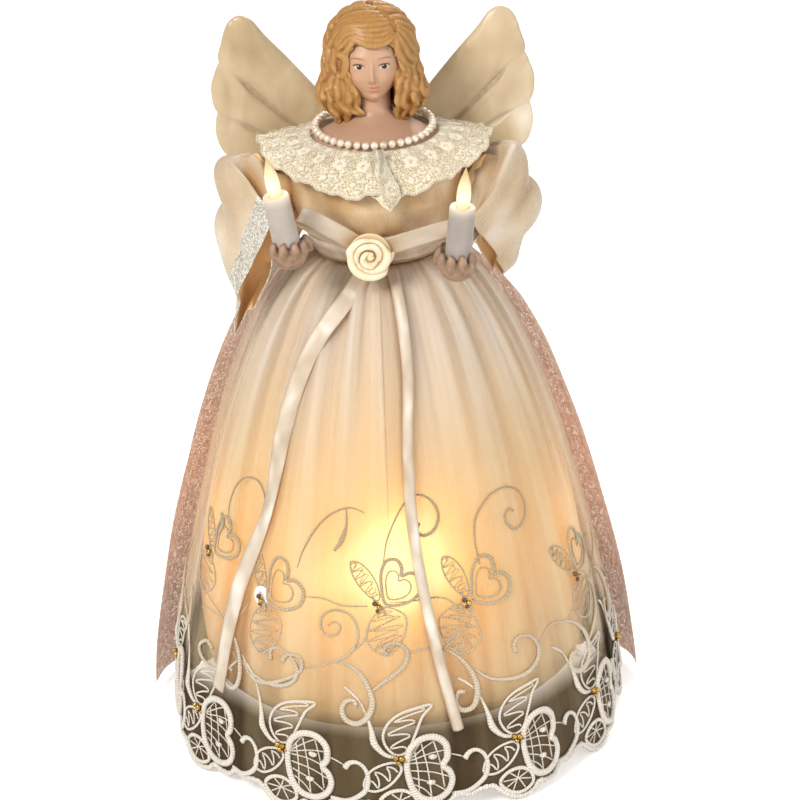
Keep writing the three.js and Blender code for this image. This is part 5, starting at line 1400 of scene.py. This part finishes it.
# The colour drifts at random, and is darker in the crinkles' hollows and deep in the seams: painted shade.
champagne_tone_and_crinkle_shade = plus(times(speckle(champagne, 26), 0.55), times(crinkle, 0.45))
champagne_colour_with_crinkle_shade = graded(champagne_tone_and_crinkle_shade,
                       [(0.28, "#A99472"), (0.42, "#C2AC88"), (0.58, "#D6C3A2"), (0.74, "#EEE4D2")])
wire_to(with_painted_crease_shade(champagne_colour_with_crinkle_shade, "#5E4A2E", 4), "Base Color")
wire_to(ranged(crinkle, 0.3, 0.7, 0.28, 0.45), "Roughness")
emboss(crinkle, 0.5)
for name, side in (("left_wing", -1), ("right_wing", 1)):
    points, faces, first = [], [], 0
    for k, panel in enumerate(wing_panels):
        place, mesh_faces = wing_panel(panel, side, 2.1 * k + side)
        points.append(place)
        faces += [tuple(first + i for i in f) for f in mesh_faces]
        first += len(place)
    wing = built(f"padded_{name}", np.vstack(points), faces)
    even_skin(wing, 0.45, 3)
    bpy.ops.object.shade_smooth()
    wing.data.materials.append(champagne)
    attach(wing, "figure")
    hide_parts(name)

# ---- Sleeves ----
# Bell sleeves of ivory satin lined with orange-tan, gathered at the armhole. They hang from the wire of the arm
# but are not attached to it. The left one falls to a long point with a silvery band inside its mouth.
PIVOT_Y, SHOULDER_Z, ARMHOLE_X = 1.0, 203.0, 33.3
# Each sleeve's top line, bottom line and half-width at five stations from the armhole to the mouth, as shares
# of its reach outwards, forwards and down
sleeve_sections = {
    "left": (
        ((0, 0, -0.236), (0, 0, 0.415), 0.962),
        ((0.363, 0.108, -0.242), (0.363, 0, 0.45), 1),
        ((0.758, 0.297, -0.302), (0.696, 0.135, 0.585), 0.962),
        ((0.488, 0.73, -0.151), (0.821, 0.324, 0.83), 0.8),
        ((0.12, 1, 0.02), (0.988, 0.486, 1), 0.7),
    ),
    "right": (
        ((0, 0, -0.236), (0, 0, 0.415), 0.962),
        ((0.363, 0.081, -0.242), (0.363, 0, 0.45), 1),
        ((0.696, 0.297, -0.264), (0.696, 0.162, 0.434), 0.962),
        ((0.488, 0.703, -0.094), (0.738, 0.378, 0.547), 0.86),
        ((0.07, 1, 0.132), (0.571, 0.595, 0.623), 0.72),
    ),
}


def along_spline(points, v):
    """On the smooth curve through evenly spaced points, v from 0 to 1."""
    points = np.asarray(points, float)
    ring = np.vstack([2 * points[0] - points[1], points, 2 * points[-1] - points[-2]])
    place = np.clip(v, 0, 1) * (len(points) - 1)
    k = np.minimum(place.astype(int), len(points) - 2)
    return curve_between(ring[k], ring[k + 1], ring[k + 2], ring[k + 3], (place - k)[:, None])


def sleeve_place(name, u, v):
    """Round the sleeve with u, and from the armhole to the mouth with v."""
    side = -1 if name == "left" else 1
    sections = sleeve_sections[name]
    spot = lambda s: (ARMHOLE_X + 24 * s[0], PIVOT_Y - 37 * s[1], SHOULDER_Z - 53 * s[2])
    tops, bottoms = [spot(s[0]) for s in sections], [spot(s[1]) for s in sections]
    widths = [(13 * s[2], 0, 0) for s in sections]
    middle = lambda v: (along_spline(tops, v) + along_spline(bottoms, v)) / 2
    up = along_spline(tops, v) - along_spline(bottoms, v)
    tall = np.linalg.norm(up, axis=1)[:, None] / 2
    up = unit(up)
    way = unit(middle(np.minimum(1, v + 0.02)) - middle(np.maximum(0, v - 0.02)))
    blend = np.clip(v / 0.2, 0, 1)[:, None]
    way = unit(way * blend + np.array([1.0, 0, 0]) * (1 - blend))
    across = unit(np.cross(up, way))
    wide = along_spline(widths, v)[:, :1]
    wide = wide * (1 - (0.45 if name == "left" else 0.6) * np.clip((v - 0.55) / 0.45, 0, 1)[:, None] ** 1.5)
    angle = 2 * np.pi * u
    seed = 1.0 if name == "left" else 2.4
    ease = np.clip(v / 0.15, 0, 1)
    fold = 1 + 0.14 * v * np.cos(5 * angle + 2.5 * v + seed) + 0.07 * np.sin(9 * angle - 4 * v + seed) * ease
    fold = fold + 0.03 * np.exp(-v / 0.16) * np.cos(22 * angle + seed)
    fold = fold + 0.08 * np.sin(4 * angle + 8 * v + seed) * np.sin(np.pi * v)
    fold = fold + 0.035 * np.sin(7 * angle + 13 * v + 2 * seed) * np.sin(np.pi * v)
    inward = 1 + 0.85 * np.exp(-(((v - 0.64) / 0.2) ** 2)) * np.clip(-np.sin(angle), 0, 1)
    shape = middle(v) + up * tall * (np.cos(angle) * fold)[:, None]
    shape = shape + across * wide * (np.sin(angle) * fold * inward)[:, None]
    return side * shape[:, 0], shape[:, 1], shape[:, 2]


lining = satin_finish("orange-tan sleeve lining", ("#D3AA72", "#E0BE8C", "#EBD2A8"), 0.45)
# Painted light: the lining glows a little in its own colour inside the sleeve.
wire_to(colour_of(lining), "Emission Color")
wire_to(ranged(speckle(lining, 9), 0.3, 0.7, 0.16, 0.24), "Emission Strength")
sleeve_satin = satin_finish("sleeve satin", ("#BFA27C", "#D3C0A4", "#EADFD0"), 0.26, 20.0, 0.05)
banded = satin_finish("sleeve satin with a silvery band", ("#BFA27C", "#D3C0A4", "#EADFD0"), 0.26, 20.0, 0.05)
down_sleeve = place_of(banded, "UV")["Y"]
band = ranged(down_sleeve, 52.0, 52.6)
brocade = node(banded, "TexVoronoi",
               {"Vector": where(banded, "UV", (1, 0.5, 1)), "Scale": 2.6}).outputs["Distance"]
# The satin's colour so far, with its painted crease shade, under the silvery band.
satin_colour_with_crease_shade = colour_of(banded)
silvery = graded(brocade, [(0.15, "#FFFDF8"), (0.4, "#DEDBD0"), (0.75, "#B4B0A4")])
wire_to(blend_colours(band, satin_colour_with_crease_shade, silvery), "Base Color")
wire_to(times(band, 0.35), "Metallic")
for name in ("left", "right"):
    sleeve = lay_cloth(f"{name}_satin_sleeve", 150, 90, lambda u, v: sleeve_place(name, u, v), (84, 62),
                       closed=True)
    sleeve.data.materials.append(banded if name == "left" else sleeve_satin)
    sleeve.data.materials.append(lining)
    thicken(sleeve, 0.5, inner_slot=1)
    side = -1 if name == "left" else 1
    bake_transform(sleeve)
    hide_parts(f"{name}_sleeve")

# ---- Hands ----
# Cast in hard resin and painted a warm brown, each cupped round the foot of its candle with the arm wire glued
# into the wrist.
tan_hand = moulded("painted hand", ("#AE8E76", "#8F725D"), 3.0, 0.5, 0.8, 0.03)
# Painted shade: the brown darkens where the hand is closed in, in its cup and creases.
wire_to(with_painted_crease_shade(colour_of(tan_hand), "#66503F", 7), "Base Color")
for name in ("left", "right"):
    palm = remeshed(f"{name}_hand", f"{name}_cupped_hand", 0.4, 34, inset=-0.5)
    palm.data.materials.append(tan_hand)
    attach(palm, f"{name}_arm_body")
    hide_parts(f"{name}_hand")

# ---- Candles ----
# White moulded tubes, open at the top to take a flame-shaped lamp that pushes in. The lamp can be pulled out.
# Where each candle's axis starts in its palm, and how far it leans outwards, in degrees
PALMS = {"left": (-33.6, -51.0, 192.6), "right": (29.6, -51.0, 185.2)}
LEANS = {"left": -9, "right": 6}


def turned(name, profile, hand, step, sides=48):
    """A round piece on a candle's leaning axis: a disc drawn up ring by ring through (radius, distance up)."""
    line = smooth_line(np.array(profile, float), step)
    bpy.ops.object.select_all(action="DESELECT")
    bpy.ops.mesh.primitive_circle_add(vertices=sides, radius=line[0][0] * MM, fill_type="NGON",
                                      location=(0, 0, line[0][1] * MM))
    piece = bpy.context.object
    piece.name = piece.data.name = name
    bpy.ops.object.transform_apply()
    bpy.ops.object.mode_set(mode="EDIT")
    bpy.ops.mesh.select_all(action="SELECT")
    for (was, low), (radius, up) in zip(line[:-1], line[1:]):
        bpy.ops.mesh.extrude_region_move(TRANSFORM_OT_translate={"value": (0, 0, (up - low) * MM)})
        bpy.ops.transform.resize(value=(radius / was, radius / was, 1), center_override=(0, 0, up * MM))
    bpy.ops.mesh.select_all(action="SELECT")
    bpy.ops.mesh.normals_make_consistent(inside=False)
    bpy.ops.object.mode_set(mode="OBJECT")
    piece.rotation_euler = (math.radians(7), math.radians(LEANS[hand]), 0)
    piece.location = Vector(PALMS[hand]) * MM
    bpy.ops.object.transform_apply()
    bpy.ops.object.shade_smooth_by_angle(angle=math.radians(35))
    return piece


# Outlines to turn, as (radius, distance up the axis): the tube with its bore, and the lamp from base to tip
tube = [(1.9, 3.5), (4.4, 3.5), (4.95, 3.8), (5.1, 4.4), (5.08, 8), (5.04, 13), (5, 18), (4.95, 23.4),
        (4.85, 24), (4.6, 24.3), (3.1, 24.3), (2.8, 24.1), (2.7, 23.6), (2.7, 16.3), (1.9, 16.3)]
flame = [(0.05, 17.3), (1.9, 17.3), (2.3, 17.7), (2.3, 21), (2.3, 24.4), (2.35, 25), (2.55, 26), (2.68, 27.5),
         (2.7, 29), (2.6, 31), (2.3, 33), (1.85, 35), (1.3, 36.8), (0.8, 38.2), (0.4, 39.3), (0.15, 39.9),
         (0.02, 40.1)]
# Painted shade: the white tubes are coloured grey, the right one darker than the left.
for name, greys_with_painted_shade in (("left", ("#B4ABA4", "#C2B9B2")), ("right", ("#9F9791", "#AFA7A1"))):
    palm_z = PALMS[name][2]
    wax_white = new_finish(f"{name} candle plastic, lit from its rim", 0.35, Subsurface_Weight=0.25,
                           Subsurface_Scale=0.004)
    rim_light = ranged(place_of(wax_white)["Z"], (palm_z + 18.5) * MM, (palm_z + 24.6) * MM)
    wire_to(graded(speckle(wax_white, 9), [(0.3, greys_with_painted_shade[0]), (0.7, greys_with_painted_shade[1])]), "Base Color")
    wire_to(graded(rim_light, [(0.3, "#FFE6B4"), (1.0, "#FFF4D6")]), "Emission Color")
    wire_to(times(maths("POWER", rim_light, 2.0), 0.6), "Emission Strength")
    uneven_shine(wax_white, 1.5, 0.3, 0.42)
    candle = turned(f"{name}_candle_tube", tube, name, 0.5)
    candle.data.materials.append(wax_white)
    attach(candle, f"{name}_arm_body")
    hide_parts(f"{name}_candle")
    lamp = turned(f"{name}_flame_lamp", flame, name, 0.4, 40)
    glass = new_finish(f"{name} lit flame lamp", 0.12, Coat_Weight=0.6)
    glass_from = (palm_z + 23.5) * MM
    warm = plus(ranged(place_of(glass)["Z"], glass_from, glass_from + 0.015), times(speckle(glass, 2.5), 0.12))
    wire_to(graded(warm, [(0.1, "#F2D49C"), (0.5, "#F6E6C0"), (1.0, "#DCC08C")]), "Base Color")
    wire_to(graded(warm, [(0.0, "#FFD98A"), (0.28, "#FFF6D2"), (0.6, "#FFE9AE"), (1.0, "#DDB468")]),
            "Emission Color")
    strength = [(0.0, "#909090"), (0.28, "#D2D2D2"), (0.6, "#A4A4A4"), (0.85, "#5C5C5C"), (1.0, "#1C1C1C")]
    wire_to(graded(warm, strength), "Emission Strength")
    lamp.data.materials.append(glass)
    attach(lamp, f"{name}_lamp_body")
    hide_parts(f"{name}_candle_bulb")

# ---- Sash, bow and tails ----
# Double-faced ivory satin ribbon: the sash is wound once round the waist seam, the bow's two loops are tacked
# behind the rose, and the two long tails fall over the skirt.


def ribbon_piece(name, line, across, out, width, thickness, flat_length, curl=0.3):
    """A ribbon along a line of points, given its way across and its way out; its edges curl under by an angle."""
    steps, across_steps = len(line), 8
    rise = np.linspace(-0.5, 0.5, across_steps + 1)
    cup = width * (np.cos(rise * curl) - math.cos(curl / 2)) / curl
    sideways = across[:, None] * (np.sin(rise * curl) * width / curl)[None, :, None]
    outer = line[:, None] + sideways + out[:, None] * cup[None, :, None]

    def place(u, v):
        chosen = outer[np.rint(v * (steps - 1)).astype(int), np.rint(u * across_steps).astype(int)]
        return chosen[:, 0], chosen[:, 1], chosen[:, 2]

    piece = lay_cloth(name, across_steps, steps - 1, place, (width, flat_length))
    face_out = piece.data.polygons[(steps // 2) * across_steps + across_steps // 2].normal
    if face_out.dot(Vector(out[steps // 2])) < 0:
        on_whole_mesh(bpy.ops.mesh.flip_normals)
    thicken(piece, thickness)
    piece.data.materials.append(ribbon_satin)
    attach(piece, "figure")
    return piece


ribbon_satin = satin_finish("double-faced ribbon satin", ("#B9A68C", "#D8CAB6", "#F6F0E6"), 0.2, 14.0, 0.03, 0.35)


def sash_place(u, v):
    angle = 2 * np.pi * u
    z = 177.6 + 7.6 * v
    belly = 0.4 * np.sin(np.pi * v) + 0.22 * np.cos(3 * np.pi * v) + 0.2 * np.cos(13 * angle) * np.sin(np.pi * v)
    wide = 25.4 + 3.4 * v**1.5 + belly
    front = 25.4 + 4.2 * v**1.5 + belly
    x, y = ring_of(angle, wide, front, wide - 0.6)
    return x, y, z


sash = lay_cloth("ribbon_sash", 180, 10, sash_place, (168, 8), closed=True)
thicken(sash, 0.5)
sash.data.materials.append(ribbon_satin)
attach(sash, "figure")
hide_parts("sash")

BOW_X, BOW_Y, BOW_Z = -3.4, -35.0, 186.5
for name, length, slant_from, slant_to in (("left", 26.5, 143.0, 158.0), ("right", 31.0, 17.0, 8.0)):
    v = np.linspace(0, 1, 60)
    slant = np.radians(slant_from + (slant_to - slant_from) * v)
    reach = 3.4 + length * np.sin(np.pi * v) ** 0.9
    forth_and_back = BOW_Y - 2.6 * np.cos(np.pi * v) - 0.5 * np.sin(3 * np.pi * v)
    level = BOW_Z + np.sin(slant) * reach + 0.35 * np.sin(5 * v)
    line = np.stack([BOW_X + np.cos(slant) * reach, forth_and_back, level], 1)
    along = unit(np.gradient(line, axis=0))
    across = unit(np.stack([-np.sin(slant), 0 * slant, np.cos(slant)], 1))
    out = unit(np.cross(across, along))
    loop = ribbon_piece(f"bow_loop_{name}", line, across, out, 7.0, 0.45, 62.0)
    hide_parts(f"bow_{name}_loop")

# Each tail's way down the skirt: degrees round at the shares of its fall, its end's height, waves and curl
downs = [0, 0.1, 0.2, 0.34, 0.52, 0.74, 1.0]
tail_ways = {
    "left": ([-12, -27, -35, -38.5, -41, -49, -53], 9.0, 0, 0.3),
    "right": ([10, 10.5, 10, 7.5, 7, 10, 15.5], 5.0, 2, 3.0),
}
for name, (degrees, end_z, phase, curl) in tail_ways.items():
    down = np.linspace(0, 1, 170)
    knots = smooth_line(np.stack([downs, np.array(degrees) / 60.0], 1), 0.004)
    angle = np.radians(np.interp(down, knots[:, 0], knots[:, 1] * 60.0))
    tail_top = 175.4
    z = tail_top + (end_z - tail_top) * down
    lift = 1.5 + 0.6 * np.sin(9 * down + phase) * np.sin(np.pi * down)
    line = np.stack(over_surface(angle, z, lift), 1)
    out = unit(np.stack(over_surface(angle, z, lift + 1), 1) - line)
    fall = unit(np.stack([np.sin(angle), -np.cos(angle), 0 * angle], 1))
    along = unit(np.gradient(line, axis=0))
    across = unit(np.cross(fall, along))
    twist = 0.9 * (np.sin(13 * down + 1) * np.sin(np.pi * np.clip(down * 1.1, 0, 1)))[:, None]
    across = unit(across + fall * twist * 0.4)
    out = unit(np.cross(along, across))
    out *= np.sign((out * fall).sum(1))[:, None]
    long = float(np.linalg.norm(np.diff(line, axis=0), axis=1).sum())
    tail = ribbon_piece(f"ribbon_tail_{name}", line, across, out, 7.0, 0.4, long,
                        curl=curl)
    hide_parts(f"{name}_tail")

# ---- Ribbon rose ----
# One ribbon rolled tight at the middle and folded outwards turn by turn, then sewn to a stiff disc on the sash.
ROSE = (-3.4, -38.5, 186.5)


def rose_place(u, v):
    """The ribbon wound outwards with u, its lower edge at v 0; each turn is folded over where a petal ends."""
    turns = 2.9
    angle = 2 * np.pi * turns * u + 0.8
    turned_in = (2.4 * angle / (2 * np.pi)) % 1
    overlap = np.where(turned_in < 0.86, turned_in / 0.86, (1 - turned_in) / 0.14) - 0.5
    petal = np.abs(np.cos(angle * 0.75 + 0.4)) ** 0.7
    band = (1.7 + 1.5 * u) * (0.85 + 0.35 * petal)
    radius = (0.3 + 6.2 * u**0.9) * (0.88 + 0.12 * petal) + band * v
    radius = radius * (1 + 0.15 * u**0.5 * overlap)
    rise = 1.4 + 0.7 * overlap * u**0.5 + (4.0 - 2.2 * u) * (0.74 + 0.26 * petal)
    rise = rise + (1.0 + 0.5 * petal) * np.sin(np.pi * (0.04 + 0.8 * v)) - 0.5 * (1 - v) ** 3
    return ROSE[0] + radius * np.cos(angle), ROSE[1] - rise, ROSE[2] + radius * np.sin(angle)


coil = lay_cloth("rose_coil", 320, 14, rose_place, (110, 8))
thicken(coil, 0.4)
rose_satin = satin_finish("cream rose ribbon", ("#ECD9B0", "#F4E6C8", "#FAF1DC"), 0.4, 6.0, 0.03, 0.35, "#D8B984")
coil.data.materials.append(rose_satin)
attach(coil, "figure")
bpy.ops.object.select_all(action="DESELECT")
bpy.ops.mesh.primitive_cylinder_add(
    vertices=64,
    radius=8.2 * MM,
    depth=1.4 * MM,
    location=(ROSE[0] * MM, (ROSE[1] - 0.7) * MM, ROSE[2] * MM),
    rotation=(math.pi / 2, 0, 0),
)
disc = bpy.context.object
disc.name = disc.data.name = "rose_disc"
on_whole_mesh(bpy.ops.mesh.bevel, offset=0.4 * MM, segments=3)
bpy.ops.object.transform_apply()
bud_at = ((ROSE[0] + 0.2) * MM, (ROSE[1] - 4.6) * MM, (ROSE[2] + 0.2) * MM)
bpy.ops.mesh.primitive_uv_sphere_add(segments=32, ring_count=20, radius=1.7 * MM, location=bud_at)
join(disc, bpy.context.object)
bpy.ops.object.shade_smooth_by_angle(angle=math.radians(30))
disc.data.materials.append(rose_satin)
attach(disc, "figure")
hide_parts("ribbon_rose")

# ---- Floor, lights and camera ----
# The studio of the photo: a white sweep under and behind, soft light from above and a little from each side.
floor_white = new_finish("white sweep", 0.8, Specular_IOR_Level=0.2, Emission_Color=dye("#FFFFFF"))
wire_to(graded(speckle(floor_white, 90), [(0.3, "#F4F3F1"), (0.7, "#F7F6F5")]), "Base Color")
seen = node(floor_white, "LightPath").outputs["Is Camera Ray"]
wire_to(times(seen, 0.5), "Emission Strength")
bpy.ops.object.select_all(action="DESELECT")
bpy.ops.mesh.primitive_plane_add(size=9.0, location=(0, 0, -0.0306))
floor = bpy.context.object
floor.name = "white_sweep"
floor.data.materials.append(floor_white)

# The camera sees white paper; the pieces are lit by a softer, plain sky
studio = bpy.data.worlds.new("white studio")
bpy.context.scene.world = studio
studio.use_nodes = True
studio.node_tree.nodes.clear()
sky = node(studio, "Background", {"Color": dye("#FAF7F3"), "Strength": 0.5})
paper = node(studio, "Background", {"Color": dye("#FFFFFF"), "Strength": 1.0})
ray = node(studio, "LightPath").outputs["Is Camera Ray"]
either = node(studio, "MixShader", {0: ray, 1: sky.outputs[0], 2: paper.outputs[0]})
world_out = studio.node_tree.nodes.new("ShaderNodeOutputWorld")
studio.node_tree.links.new(either.outputs[0], world_out.inputs["Surface"])


def soft_light(name, at, aim, size, power, colour):
    lamp = bpy.data.lights.new(name, "AREA")
    lamp.shape = "DISK"
    lamp.size = size
    lamp.energy = power
    lamp.color = dye(colour)[:3]
    holder = bpy.data.objects.new(name, lamp)
    bpy.context.collection.objects.link(holder)
    holder.location = at
    holder.rotation_euler = (Vector(aim) - Vector(at)).to_track_quat("-Z", "Y").to_euler()


soft_light("key", (-0.62, -0.85, 0.95), (0, 0, 0.12), 0.5, 11.6, "#FFF9F1")
soft_light("fill", (0.85, -0.75, 0.45), (0, 0, 0.12), 0.8, 3.8, "#FFFCF8")
soft_light("top back", (0.25, 0.75, 0.9), (0, 0, 0.15), 0.6, 4.8, "#FFFCF6")

camera = bpy.data.objects.new("camera", bpy.data.cameras.new("camera"))
bpy.context.collection.objects.link(camera)
camera.data.lens = 122.2
camera.data.sensor_width = 36.0
camera.data.clip_start = 0.05
camera.data.clip_end = 20.0
aim, distance, elevation, roll = Vector((0.006, 0, 0.109)), 1.1, math.radians(23), math.radians(-2.2)
camera.location = aim + Vector((0, -math.cos(elevation), math.sin(elevation))) * distance
look = (aim - camera.location).to_track_quat("-Z", "Y")
camera.rotation_euler = (look.to_matrix() @ Matrix.Rotation(roll, 3, "Z")).to_euler()
bpy.context.scene.camera = camera
bpy.context.scene.view_settings.view_transform = "Standard"
